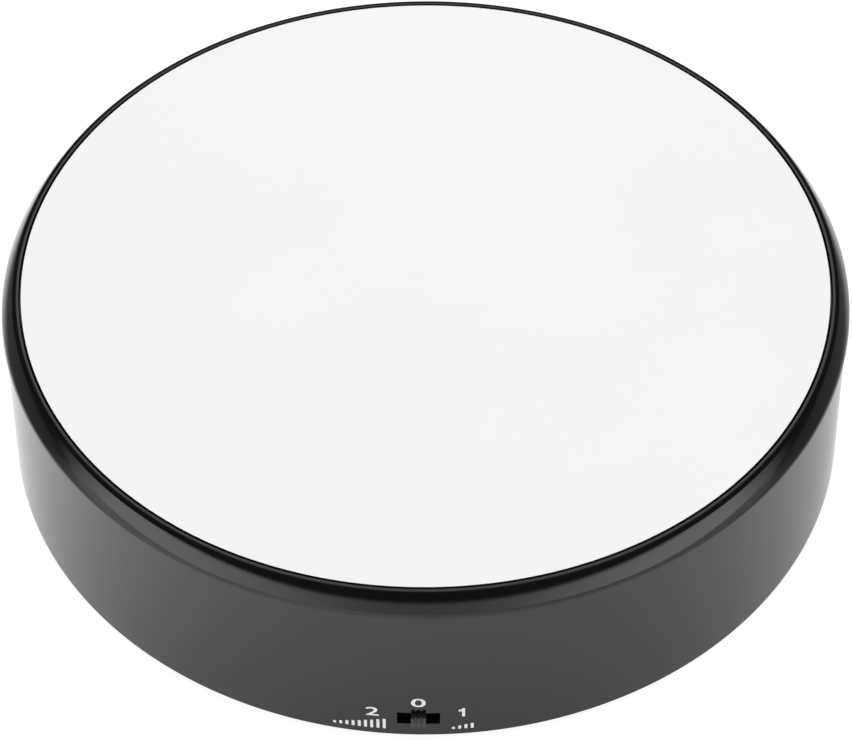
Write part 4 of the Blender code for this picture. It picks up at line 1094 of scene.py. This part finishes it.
def banded(name, axis, stops, roughness, metallic=0.0):
    """A lacquer or film whose colour changes in bands along one axis; stops are (metres, colour)."""
    look = bpy.data.materials.new(name)
    look.use_nodes = True
    nodes, links = look.node_tree.nodes, look.node_tree.links
    nodes.clear()
    output = nodes.new("ShaderNodeOutputMaterial")
    output.label = "Finished surface"
    shader = nodes.new("ShaderNodeBsdfPrincipled")
    shader.label = "Printed film"
    shader.inputs["Metallic"].default_value = metallic
    place = nodes.new("ShaderNodeTexCoord")
    place.label = "Place on the object"
    split = nodes.new("ShaderNodeSeparateXYZ")
    split.label = "Distance along the piece"
    band_group = nodes.new("NodeFrame")
    band_group.label = "Colour bands"
    start, end = stops[0][0], stops[-1][0]
    share = nodes.new("ShaderNodeMapRange")
    share.label = "Length as a share"
    share.parent = band_group
    share.inputs["From Min"].default_value = start
    share.inputs["From Max"].default_value = end
    bands = nodes.new("ShaderNodeValToRGB")
    bands.label = "Bands"
    bands.parent = band_group
    bands.color_ramp.interpolation = "CONSTANT"
    for number, (spot, colour) in enumerate(stops[:-1]):
        position = (spot - start) / (end - start)
        stop = bands.color_ramp.elements[0] if number == 0 else bands.color_ramp.elements.new(position)
        stop.position = position
        stop.color = (*colour, 1.0)
    bands.color_ramp.elements.remove(bands.color_ramp.elements[-1])
    scuff_group = nodes.new("NodeFrame")
    scuff_group.label = "Scuffs in the film"
    scuffs = nodes.new("ShaderNodeTexNoise")
    scuffs.label = "Scuffs"
    scuffs.parent = scuff_group
    scuffs.inputs["Scale"].default_value = 320.0
    scuffs.inputs["Detail"].default_value = 6.0
    rough = nodes.new("ShaderNodeMapRange")
    rough.label = "Scuffs are duller"
    rough.parent = scuff_group
    rough.inputs["To Min"].default_value = roughness - 0.1
    rough.inputs["To Max"].default_value = roughness + 0.15
    for column, node in enumerate((place, split, share, bands, scuffs, rough, shader, output)):
        node.location = (230 * column - 900, -100 * (column % 2))
    links.new(place.outputs["Object"], split.inputs["Vector"])
    links.new(split.outputs[axis], share.inputs["Value"])
    links.new(share.outputs["Result"], bands.inputs["Fac"])
    links.new(bands.outputs["Color"], shader.inputs["Base Color"])
    links.new(place.outputs["Object"], scuffs.inputs["Vector"])
    links.new(scuffs.outputs["Fac"], rough.inputs["Value"])
    links.new(rough.outputs["Result"], shader.inputs["Roughness"])
    links.new(shader.outputs["BSDF"], output.inputs["Surface"])
    return look


keep(finished("switch_knob", 0.1, 3), "switch_knob", "black_plastic", knob_black, "switch_knob")
keep(finished("switch_body", 0.15), "base", "steel", tinned, "switch_body")
keep(finished("switch_board", 0.08), "base", "board", circuit_board(), "switch_board")
tan, brown, black, gold = (0.55, 0.4, 0.24), (0.12, 0.04, 0.015), (0.01, 0.01, 0.01), (0.5, 0.33, 0.08)
steel_grey = (0.5, 0.5, 0.52)
resistor_look = banded("Resistor lacquer", "X", [
    (-5 * MM, steel_grey), (-2.9 * MM, tan), (-1.9 * MM, brown), (-1.4 * MM, tan),
    (-0.8 * MM, black), (-0.3 * MM, tan), (0.3 * MM, brown), (0.8 * MM, tan), (1.6 * MM, gold),
    (2.1 * MM, tan), (2.9 * MM, steel_grey), (5 * MM, steel_grey)], 0.35)
keep(finished("speed_resistor", 0.1), "base", "resistor", resistor_look, "speed_resistor")
print("switch group done")

# %% [markdown]
# ## Cover, door, feet and screws
#
# The underside is where a thing like this is put together: a textured cover, a battery door with
# grip ribs, five screws sunk in cups and four rubber feet. Screws and feet are each one shape
# repeated round a ring, so the same Geometry Nodes tree places both.

# %% Cover and door
keep(finished("bottom_cover", 0.2), "base", "black_plastic", cover_black, "bottom_cover")
keep(finished("battery_door", 0.15), "battery_door", "black_plastic", cover_black, "battery_door")


# %% One cross-head screw and one foot, repeated round their rings
def cross_screw(name, low, high, head_radius, shank_radius, flip=False):
    """A pan-head screw between two heights on the Z axis, with a cross recess and a thread."""
    head = 1.2 * MM
    pitch, depth = 0.9 * MM, 0.18 * MM
    section = [(0, low), (head_radius * 0.55, low + 0.05 * MM), (head_radius * 0.88, low + 0.35 * MM),
               (head_radius, low + 0.8 * MM), (head_radius, low + head), (shank_radius, low + head)]
    turns = int((high - low - head - 1.2 * MM) / pitch)
    for k in range(turns):
        base_z = low + head + 0.3 * MM + k * pitch
        section += [(shank_radius - depth, base_z), (shank_radius - depth, base_z + pitch * 0.5),
                    (shank_radius, base_z + pitch * 0.75)]
    section += [(shank_radius - depth, high - 0.7 * MM), (0, high)]
    screw = turned(name, section, 40)
    arm, half = 1.6 * MM, 0.32 * MM
    cuts = [block((-arm, arm), (-half, half), (low - MM, low + 0.6 * MM)),
            block((-half, half), (-arm, arm), (low - MM, low + 0.6 * MM))]
    combine(screw, cuts, "DIFFERENCE")
    if flip:
        middle_z = (low + high) / 2
        screw.data.transform(Matrix.Translation((0, 0, middle_z)) @ Matrix.Rotation(math.pi, 4, "X")
                             @ Matrix.Translation((0, 0, -middle_z)))
    return screw


screw_low, screw_high = (corner.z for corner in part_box("cover_screw_1"))
first = middle("cover_screw_1")
cover_screws = ring_of("cover_screws", cross_screw("screw", screw_low, screw_high, 2.88 * MM, 1.3 * MM),
                       5, first.to_2d().length, math.atan2(first.y, first.x), zinc)
keep(cover_screws, "base", "steel", zinc, *[f"cover_screw_{k}" for k in range(1, 6)])

foot_low, foot_high = (corner.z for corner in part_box("foot_1"))
foot_radius = (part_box("foot_1")[1].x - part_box("foot_1")[0].x) / 2
foot_pattern = turned("foot", rounded([
    (0, foot_low, 0), (foot_radius * 0.55, foot_low, 0.1 * MM),
    (foot_radius * 0.62, foot_low + 0.25 * MM, 0.1 * MM),
    (foot_radius * 0.72, foot_low, 0.1 * MM), (foot_radius, foot_low, 0.5 * MM),
    (foot_radius, foot_high, 0.15 * MM), (0, foot_high, 0)], 3), 64)
first_foot = middle("foot_1")
feet = ring_of("rubber_feet", foot_pattern, 4, first_foot.to_2d().length,
               math.atan2(first_foot.y, first_foot.x), foot_rubber)
keep(feet, "base", "rubber_feet", foot_rubber, *[f"foot_{k}" for k in range(1, 5)])

# %% The other screws
for k in range(1, 4):
    low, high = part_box(f"gear_plate_screw_{k}")
    spot = middle(f"gear_plate_screw_{k}")
    one = cross_screw(f"plate_screw_{k}", low.z, high.z, 2.88 * MM, 1.3 * MM)
    one.data.transform(Matrix.Translation((spot.x, spot.y, 0)))
    keep(one, "base", "steel", zinc, f"gear_plate_screw_{k}")
low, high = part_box("platter_screw")
keep(cross_screw("hub_screw", low.z, high.z, 2.88 * MM, 1.2 * MM, flip=True), "platter", "steel", zinc,
     "platter_screw")
for k in (1, 2):
    low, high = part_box(f"board_screw_{k}")
    spot = middle(f"board_screw_{k}")
    one = cross_screw(f"small_screw_{k}", 0.0, high.y - low.y, 2.18 * MM, 1.0 * MM)
    one.data.transform(Matrix.Translation((spot.x, high.y, spot.z))
                       @ Matrix.Rotation(math.pi / 2, 4, "X"))
    keep(one, "base", "steel", zinc, f"board_screw_{k}")
print("screws done")

# %% [markdown]
# ## Cells and contacts
#
# Two penlight cells lie head to tail. A cell is a steel can in a shrunk, printed film: the film
# rolls over the shoulder at both ends and leaves the bare metal in the middle. The bands are plain
# colours, with no lettering.

# %% Cells
def cell(number, sign):
    low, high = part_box(f"battery_{number}")
    spot = (low + high) / 2
    radius = (high.z - low.z) / 2
    length = high.y - low.y
    nub, nub_radius = 1.3 * MM, 2.75 * MM
    body = length - nub
    section = rounded([
        (0, 0.25 * MM, 0), (radius * 0.62, 0.25 * MM, 0.1 * MM), (radius * 0.66, 0, 0.1 * MM),
        (radius, 0, 0.7 * MM), (radius, body, 0.8 * MM), (radius * 0.8, body, 0.15 * MM),
        (radius * 0.76, body - 0.35 * MM, 0.1 * MM), (nub_radius, body - 0.35 * MM, 0.1 * MM),
        (nub_radius, body + nub, 0.35 * MM), (0, body + nub, 0)], 4)
    start = low.y if sign > 0 else high.y
    place = (Matrix.Translation((spot.x, start, spot.z))
             @ Matrix.Rotation(-sign * math.pi / 2, 4, "X"))
    piece = turned(f"cell_{number}", section, 96, place)
    metal_grey, film, gold_band = (0.62, 0.62, 0.63), (0.02, 0.035, 0.075), (0.62, 0.4, 0.16)
    near = [(0, metal_grey), (0.7 * MM, film), (36 * MM, gold_band), (body - 0.5 * MM, metal_grey),
            (length, metal_grey)]
    if sign > 0:
        stops = [(start + along, colour) for along, colour in near]
    else:
        flipped = [(start - along) for along, _ in reversed(near)]
        colours = [colour for _, colour in reversed(near[:-1])]
        stops = list(zip(flipped, colours + [metal_grey]))
    look = banded(f"Cell film {number}", "Y", stops, 0.28, 0.6)
    return keep(piece, "base", "cell_jacket", look, f"battery_{number}")


for number, sign in ((1, 1), (2, -1)):
    cell(number, sign)
for node in ("contact_positive", "contact_negative", "contact_bridge"):
    keep(finished(node, 0.05, 1), "base", "steel", drawn_steel, node)
print("cells and contacts done")

# %% [markdown]
# ## The drive
#
# The motor turns a tiny brass pinion, three nylon compound gears slow it down 400 times, and the
# last gear turns the shaft under the platter. Their teeth come from the mechanical model, since
# they must mesh exactly; here they are only welded, softened and given their material.

# %% Gears, shafts and motor
for node in ("gear_1", "gear_2", "gear_3"):
    keep(finished(node, 0.06, 2), node, "nylon", gear_nylon, node)
keep(finished("output_gear", 0.06, 2), "platter", "nylon", gear_nylon, "output_gear")
keep(finished("gear_plate", 0.2), "base", "nylon", gear_nylon, "gear_plate")
keep(finished("motor_end_cap", 0.2), "base", "nylon", gear_nylon, "motor_end_cap")
keep(finished("motor_can", 0.4, 3), "base", "steel", zinc, "motor_can")
keep(finished("motor_rotor", 0.1), "motor_rotor", "steel", drawn_steel, "motor_rotor")
keep(finished("motor_pinion", 0.04), "motor_rotor", "brass", turned_brass, "motor_pinion")
keep(finished("output_shaft", 0.12), "platter", "steel", drawn_steel, "output_shaft")
keep(finished("shaft_clip", 0.08), "platter", "steel", zinc, "shaft_clip")
for node in ("upper_bush", "lower_bush", "motor_terminal_1", "motor_terminal_2"):
    keep(finished(node, 0.1), "base", "brass", turned_brass, node)
for node in ("axle_1", "axle_2", "axle_3", "roller_pin_1", "roller_pin_2", "roller_pin_3",
             "roller_pin_4"):
    keep(finished(node, 0.15), "base", "steel", drawn_steel, node)
print("drive done")

# %% Support rollers
roller_half = 2.5 * MM
roller_radius = 4.0 * MM
for k, turn in enumerate(roller_turns, 1):
    place = (Matrix.Translation(middle(f"roller_{k}")) @ Matrix.Rotation(turn, 4, "Z")
             @ Matrix.Rotation(math.pi / 2, 4, "Y"))
    section = rounded([
        (1.1 * MM, -roller_half, 0.1 * MM), (2.2 * MM, -roller_half, 0.1 * MM),
        (2.4 * MM, -roller_half + 0.5 * MM, 0.1 * MM), (3.2 * MM, -roller_half + 0.5 * MM, 0.1 * MM),
        (3.4 * MM, -roller_half, 0.1 * MM), (roller_radius, -roller_half, 0.4 * MM),
        (roller_radius, roller_half, 0.4 * MM), (1.1 * MM, roller_half, 0.2 * MM)], 3)
    roller = turned(f"roller_{k}_finish", section, 64, place)
    keep(roller, f"roller_{k}", "nylon", roller_nylon, f"roller_{k}")
print("rollers done")


# %% [markdown]
# ## Leads
#
# Three thin insulated wires join the cells, the switch and the motor. Their insulation is soft
# PVC: a low sheen, slightly uneven, in the colour that tells an assembler where it goes.

# %% Insulated leads
def insulation(name, colour):
    look = bpy.data.materials.new(name)
    look.use_nodes = True
    nodes, links = look.node_tree.nodes, look.node_tree.links
    nodes.clear()
    output = nodes.new("ShaderNodeOutputMaterial")
    output.label = "Finished surface"
    shader = nodes.new("ShaderNodeBsdfPrincipled")
    shader.label = "Soft PVC"
    shader.inputs["Roughness"].default_value = 0.42
    place = nodes.new("ShaderNodeTexCoord")
    place.label = "Place on the object"
    skin_group = nodes.new("NodeFrame")
    skin_group.label = "Extruded skin"
    skin = nodes.new("ShaderNodeTexNoise")
    skin.label = "Slow unevenness"
    skin.parent = skin_group
    skin.inputs["Scale"].default_value = 160.0
    shade = nodes.new("ShaderNodeValToRGB")
    shade.label = "Two close shades"
    shade.parent = skin_group
    shade.color_ramp.elements[0].color = (*[v * 0.75 for v in colour], 1.0)
    shade.color_ramp.elements[1].color = (*colour, 1.0)
    bump = nodes.new("ShaderNodeBump")
    bump.label = "Skin relief"
    bump.parent = skin_group
    bump.inputs["Strength"].default_value = 0.15
    bump.inputs["Distance"].default_value = 0.00004
    for column, node in enumerate((place, skin, shade, bump, shader, output)):
        node.location = (230 * column - 700, 0)
    links.new(place.outputs["Object"], skin.inputs["Vector"])
    links.new(skin.outputs["Fac"], shade.inputs["Fac"])
    links.new(shade.outputs["Color"], shader.inputs["Base Color"])
    links.new(skin.outputs["Fac"], bump.inputs["Height"])
    links.new(bump.outputs["Normal"], shader.inputs["Normal"])
    links.new(shader.outputs["BSDF"], output.inputs["Surface"])
    return look


for node, slot, colour in (("lead_cells_switch", "lead_red", (0.5, 0.02, 0.02)),
                           ("lead_cells_motor", "lead_black", (0.025, 0.025, 0.025)),
                           ("lead_switch_motor", "lead_white", (0.75, 0.75, 0.73))):
    keep(finished(node, 0.0), "base", slot, insulation(f"Insulation {slot}", colour), node)
print("leads done")

# %% [markdown]
# ## Studio
#
# Glossy black shows only what stands round it, so the surroundings are shaped like a real studio
# for black products. White paper below lights the upright wall. Two soft boxes low at the front
# corners, with a paler gap between them, light the slanted skirt. A long strip overhead, towards
# the back, draws the grey line on the rim's land. All the rest is kept dark, which turns the crown
# into a crisp black ring. The camera itself sees plain white paper all round.

# %% Floor: white paper, with dark flags beyond it at the back and painted light and shadow in its glow
def studio_floor():
    look = bpy.data.materials.new("White paper")
    look.use_nodes = True
    nodes, links = look.node_tree.nodes, look.node_tree.links
    nodes.clear()
    output = nodes.new("ShaderNodeOutputMaterial")
    output.label = "Paper"
    shader = nodes.new("ShaderNodeBsdfPrincipled")
    shader.label = "Matt paper"
    shader.inputs["Base Color"].default_value = (0.2, 0.2, 0.2, 1.0)
    shader.inputs["Roughness"].default_value = 0.9
    shader.inputs["Specular IOR Level"].default_value = 0.0
    shader.inputs["Emission Color"].default_value = (1.0, 1.0, 1.0, 1.0)
    place = nodes.new("ShaderNodeTexCoord")
    place.label = "Place on the paper"
    split = nodes.new("ShaderNodeSeparateXYZ")
    split.label = "Across and along"

    # Painted light and shadow: in reflections the paper glows brighter to the left, where no lamp
    # stands, and dimmer close to the foot as a painted shadow.
    light_group = nodes.new("NodeFrame")
    light_group.label = "Painted light, brighter to the left"
    across = nodes.new("ShaderNodeMapRange")
    across.label = "Left to right"
    across.parent = light_group
    across.inputs["From Min"].default_value = -0.16
    across.inputs["From Max"].default_value = 0.16
    across.inputs["To Min"].default_value = 1.12
    across.inputs["To Max"].default_value = 0.72

    near = nodes.new("ShaderNodeMapRange")
    near.label = "Less light close to the foot"
    near.parent = light_group
    near.inputs["From Min"].default_value = 0.095
    near.inputs["From Max"].default_value = 0.125
    near.inputs["To Min"].default_value = 0.87
    near.inputs["To Max"].default_value = 1.12
    paper = nodes.new("ShaderNodeMath")
    paper.label = "Light of the paper"
    paper.operation = "MULTIPLY"
    paper.parent = light_group

    flag_group = nodes.new("NodeFrame")
    flag_group.label = "Dark flags at the back and sides"
    reach = nodes.new("ShaderNodeVectorMath")
    reach.label = "Distance from the axis"
    reach.operation = "LENGTH"
    reach.parent = flag_group
    fade = nodes.new("ShaderNodeMapRange")
    fade.label = "Paper gives way to the flag"
    fade.interpolation_type = "SMOOTHSTEP"
    fade.parent = flag_group
    fade.inputs["From Min"].default_value = 0.14
    fade.inputs["From Max"].default_value = 0.2
    fade.inputs["To Min"].default_value = 0.0
    fade.inputs["To Max"].default_value = 1.0
    behind = nodes.new("ShaderNodeMapRange")
    behind.label = "Only beside and behind"
    behind.interpolation_type = "SMOOTHSTEP"
    behind.parent = flag_group
    behind.inputs["From Min"].default_value = -0.14
    behind.inputs["From Max"].default_value = 0.0
    flag = nodes.new("ShaderNodeMath")
    flag.label = "How much flag"
    flag.operation = "MULTIPLY"
    flag.parent = flag_group
    shaded = nodes.new("ShaderNodeMix")
    shaded.label = "Paper or flag"
    shaded.parent = flag_group
    shaded.inputs["B"].default_value = 0.02

    sight_group = nodes.new("NodeFrame")
    sight_group.label = "Plain white when looked at directly"
    ray = nodes.new("ShaderNodeLightPath")
    ray.label = "Seen in a reflection?"
    ray.parent = sight_group
    glow = nodes.new("ShaderNodeMix")
    glow.label = "Direct or reflected"
    glow.parent = sight_group
    glow.inputs["A"].default_value = 0.93

    under_group = nodes.new("NodeFrame")
    under_group.label = "See-through from below, to show the underside"
    face = nodes.new("ShaderNodeNewGeometry")
    face.label = "Which side of the paper?"
    face.parent = under_group
    clear = nodes.new("ShaderNodeBsdfTransparent")
    clear.label = "Nothing there"
    clear.parent = under_group
    sided = nodes.new("ShaderNodeMixShader")
    sided.label = "Paper above, nothing below"
    sided.parent = under_group

    for spot, node in (((-1200, 0), place), ((-1000, 200), split), ((-780, 260), across),
                       ((-780, 440), near), ((-560, 340), paper),
                       ((-1000, -120), reach), ((-780, -40), fade), ((-780, -300), behind),
                       ((-560, -160), flag), ((-360, 60), shaded), ((-360, 360), ray),
                       ((-140, 120), glow), ((100, 0), shader), ((100, 300), face),
                       ((100, -360), clear), ((380, 60), sided), ((600, 60), output)):
        node.location = spot
    links.new(place.outputs["Object"], split.inputs["Vector"])
    links.new(place.outputs["Object"], reach.inputs[0])
    links.new(split.outputs["X"], across.inputs["Value"])
    links.new(reach.outputs["Value"], fade.inputs["Value"])
    links.new(split.outputs["Y"], behind.inputs["Value"])
    links.new(fade.outputs["Result"], flag.inputs[0])
    links.new(behind.outputs["Result"], flag.inputs[1])
    links.new(flag.outputs["Value"], shaded.inputs["Factor"])
    links.new(reach.outputs["Value"], near.inputs["Value"])
    links.new(across.outputs["Result"], paper.inputs[0])
    links.new(near.outputs["Result"], paper.inputs[1])
    links.new(paper.outputs["Value"], shaded.inputs["A"])
    links.new(ray.outputs["Is Glossy Ray"], glow.inputs["Factor"])
    links.new(shaded.outputs["Result"], glow.inputs["B"])
    links.new(glow.outputs["Result"], shader.inputs["Emission Strength"])
    links.new(face.outputs["Backfacing"], sided.inputs["Fac"])
    links.new(shader.outputs["BSDF"], sided.inputs[1])
    links.new(clear.outputs["BSDF"], sided.inputs[2])
    links.new(sided.outputs["Shader"], output.inputs["Surface"])
    return look


FLOOR_HALF = 6.0
sheet = bmesh.new()
bmesh.ops.create_grid(sheet, x_segments=1, y_segments=1, size=FLOOR_HALF)
floor = mesh_object("floor", sheet)
floor.data.materials.append(studio_floor())
floor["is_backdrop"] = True


# %% World: what the gloss sees above the paper
def studio_world():
    world = bpy.data.worlds.new("Studio")
    bpy.context.scene.world = world
    world.use_nodes = True
    nodes, links = world.node_tree.nodes, world.node_tree.links
    nodes.clear()
    output = nodes.new("ShaderNodeOutputWorld")
    output.label = "Surroundings"
    sky = nodes.new("ShaderNodeBackground")
    sky.label = "Radiance"
    way = nodes.new("ShaderNodeTexCoord")
    way.label = "Direction"
    split = nodes.new("ShaderNodeSeparateXYZ")
    split.label = "Across, along, up"
    side = nodes.new("ShaderNodeMath")
    side.label = "Across, either side alike"
    side.operation = "ABSOLUTE"

    band_group = nodes.new("NodeFrame")
    band_group.label = "Two low soft boxes and the gap between them"
    low = nodes.new("ShaderNodeMapRange")
    low.label = "Only low down"
    low.interpolation_type = "SMOOTHSTEP"
    low.parent = band_group
    low.inputs["From Min"].default_value = 0.25
    low.inputs["From Max"].default_value = 0.35
    low.inputs["To Min"].default_value = 1.0
    low.inputs["To Max"].default_value = 0.0
    ahead = nodes.new("ShaderNodeMapRange")
    ahead.label = "Only in front"
    ahead.interpolation_type = "SMOOTHSTEP"
    ahead.parent = band_group
    ahead.inputs["From Min"].default_value = -0.3
    ahead.inputs["From Max"].default_value = 0.15
    ahead.inputs["To Min"].default_value = 1.0
    ahead.inputs["To Max"].default_value = 0.0
    corner = nodes.new("ShaderNodeMapRange")
    corner.label = "Paler gap, bright corners"
    corner.interpolation_type = "SMOOTHSTEP"
    corner.parent = band_group
    corner.inputs["From Min"].default_value = 0.1
    corner.inputs["From Max"].default_value = 0.95
    corner.inputs["To Min"].default_value = 1.05
    corner.inputs["To Max"].default_value = 3.2
    facing = nodes.new("ShaderNodeMath")
    facing.label = "Low and in front"
    facing.operation = "MULTIPLY"
    facing.parent = band_group
    boxes = nodes.new("ShaderNodeMath")
    boxes.label = "Light of the low boxes"
    boxes.operation = "MULTIPLY"
    boxes.parent = band_group

    strip_group = nodes.new("NodeFrame")
    strip_group.label = "Overhead strip, towards the back"
    narrow = nodes.new("ShaderNodeMapRange")
    narrow.label = "Narrow from side to side"
    narrow.interpolation_type = "SMOOTHSTEP"
    narrow.parent = strip_group
    narrow.inputs["From Min"].default_value = 0.14
    narrow.inputs["From Max"].default_value = 0.3
    narrow.inputs["To Min"].default_value = 1.0
    narrow.inputs["To Max"].default_value = 0.0
    along = nodes.new("ShaderNodeMapRange")
    along.label = "Fades towards the zenith"
    along.parent = strip_group
    along.inputs["From Min"].default_value = 0.1
    along.inputs["From Max"].default_value = 0.64
    high = nodes.new("ShaderNodeMapRange")
    high.label = "Ends above the back wall"
    high.interpolation_type = "SMOOTHSTEP"
    high.parent = strip_group
    high.inputs["From Min"].default_value = 0.6
    high.inputs["From Max"].default_value = 0.7
    strip_end = nodes.new("ShaderNodeMath")
    strip_end.label = "Narrow and fading"
    strip_end.operation = "MULTIPLY"
    strip_end.parent = strip_group
    strip = nodes.new("ShaderNodeMath")
    strip.label = "Shape of the strip"
    strip.operation = "MULTIPLY"
    strip.parent = strip_group

    sum_group = nodes.new("NodeFrame")
    sum_group.label = "Everything the gloss sees"
    dim = nodes.new("ShaderNodeMath")
    dim.label = "Strip over a dim room"
    dim.operation = "MULTIPLY_ADD"
    dim.parent = sum_group
    dim.inputs[1].default_value = 1.5
    dim.inputs[2].default_value = 0.05
    whole = nodes.new("ShaderNodeMath")
    whole.label = "Boxes, strip and room"
    whole.operation = "ADD"
    whole.parent = sum_group
    ray = nodes.new("ShaderNodeLightPath")
    ray.label = "Looked at directly?"
    ray.parent = sum_group
    seen = nodes.new("ShaderNodeMix")
    seen.label = "Plain white or surroundings"
    seen.parent = sum_group
    seen.inputs["B"].default_value = 1.0

    for spot, node in (((-1300, 0), way), ((-1100, 0), split), ((-900, 160), side),
                       ((-700, 460), low), ((-700, 300), ahead), ((-700, 140), corner),
                       ((-500, 380), facing), ((-300, 300), boxes), ((-700, -60), narrow),
                       ((-700, -220), along), ((-700, -380), high), ((-500, -140), strip_end),
                       ((-300, -220), strip), ((-100, -160), dim), ((100, 60), whole),
                       ((100, 260), ray), ((300, 80), seen), ((520, 60), sky), ((760, 60), output)):
        node.location = spot
    links.new(way.outputs["Generated"], split.inputs["Vector"])
    links.new(split.outputs["X"], side.inputs[0])
    links.new(split.outputs["Z"], low.inputs["Value"])
    links.new(split.outputs["Y"], ahead.inputs["Value"])
    links.new(side.outputs["Value"], corner.inputs["Value"])
    links.new(low.outputs["Result"], facing.inputs[0])
    links.new(ahead.outputs["Result"], facing.inputs[1])
    links.new(facing.outputs["Value"], boxes.inputs[0])
    links.new(corner.outputs["Result"], boxes.inputs[1])
    links.new(side.outputs["Value"], narrow.inputs["Value"])
    links.new(split.outputs["Y"], along.inputs["Value"])
    links.new(split.outputs["Z"], high.inputs["Value"])
    links.new(narrow.outputs["Result"], strip_end.inputs[0])
    links.new(along.outputs["Result"], strip_end.inputs[1])
    links.new(strip_end.outputs["Value"], strip.inputs[0])
    links.new(high.outputs["Result"], strip.inputs[1])
    links.new(strip.outputs["Value"], dim.inputs[0])
    links.new(dim.outputs["Value"], whole.inputs[0])
    links.new(boxes.outputs["Value"], whole.inputs[1])
    links.new(ray.outputs["Is Camera Ray"], seen.inputs["Factor"])
    links.new(whole.outputs["Value"], seen.inputs["A"])
    links.new(seen.outputs["Result"], sky.inputs["Strength"])
    links.new(sky.outputs["Background"], output.inputs["Surface"])
    return world


studio_world()


# %% Soft box overhead
def soft_box(name, place, aim, width, height, watts):
    """A soft box that lights matt surfaces; the strip above stands for it in the gloss."""
    data = bpy.data.lights.new(name, "AREA")
    data.shape = "RECTANGLE"
    data.size, data.size_y = width, height
    data.energy = watts
    lamp = bpy.data.objects.new(name, data)
    lamp.location = place
    lamp.rotation_mode = "QUATERNION"
    lamp.rotation_quaternion = (Vector(aim) - Vector(place)).to_track_quat("-Z", "Y")
    lamp.visible_glossy = False
    bpy.context.scene.collection.objects.link(lamp)
    return lamp


key = soft_box("soft_box_overhead", (0, 0.5, 1.7), (0, 0, 0), 2.4, 2.4, 42.5)
print("overhead soft box gives", key.data.energy, "watts")

# %% [markdown]
# ## Camera
#
# A long lens from a little under a metre, looking down at about 48 degrees, keeps the ellipses
# honest. The aim is slightly above the middle of the base so that the plate fills the frame.

# %% Camera
CAMERA_DISTANCE = 0.914
CAMERA_HEIGHT_ANGLE = math.radians(47.63)
CAMERA_SIDE_ANGLE = math.radians(1.24)
AIM_UP = math.radians(0.586)
ROLL = math.radians(-0.325)
lens = bpy.data.cameras.new("camera")
lens.lens = 174.05
lens.sensor_width = 36.0
lens.clip_start, lens.clip_end = 0.05, 50.0
camera = bpy.data.objects.new("camera", lens)
back = Vector((math.sin(CAMERA_SIDE_ANGLE) * math.cos(CAMERA_HEIGHT_ANGLE),
               -math.cos(CAMERA_SIDE_ANGLE) * math.cos(CAMERA_HEIGHT_ANGLE),
               math.sin(CAMERA_HEIGHT_ANGLE)))
camera.location = Vector((0, 0, WALL_FOOT)) + back * CAMERA_DISTANCE
camera.rotation_mode = "QUATERNION"
look_at = (-back).to_track_quat("-Z", "Y").to_matrix()
tilt = Matrix.Rotation(AIM_UP, 3, "X") @ Matrix.Rotation(ROLL, 3, "Z")
camera.rotation_quaternion = (look_at @ tilt).to_quaternion()
bpy.context.scene.collection.objects.link(camera)
bpy.context.scene.camera = camera
bpy.context.scene.view_settings.view_transform = "Standard"
print("camera at", [round(v, 3) for v in camera.location])

# %% [markdown]
# ## Size of the finished model
#
# The finished pieces must not grow out of the box that the plain model fills, so the box that the
# finished model fills is printed.

# %% Print the finished model's box
low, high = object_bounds()
print("finished model fills", [round(v / MM, 1) for v in high - low], "mm")
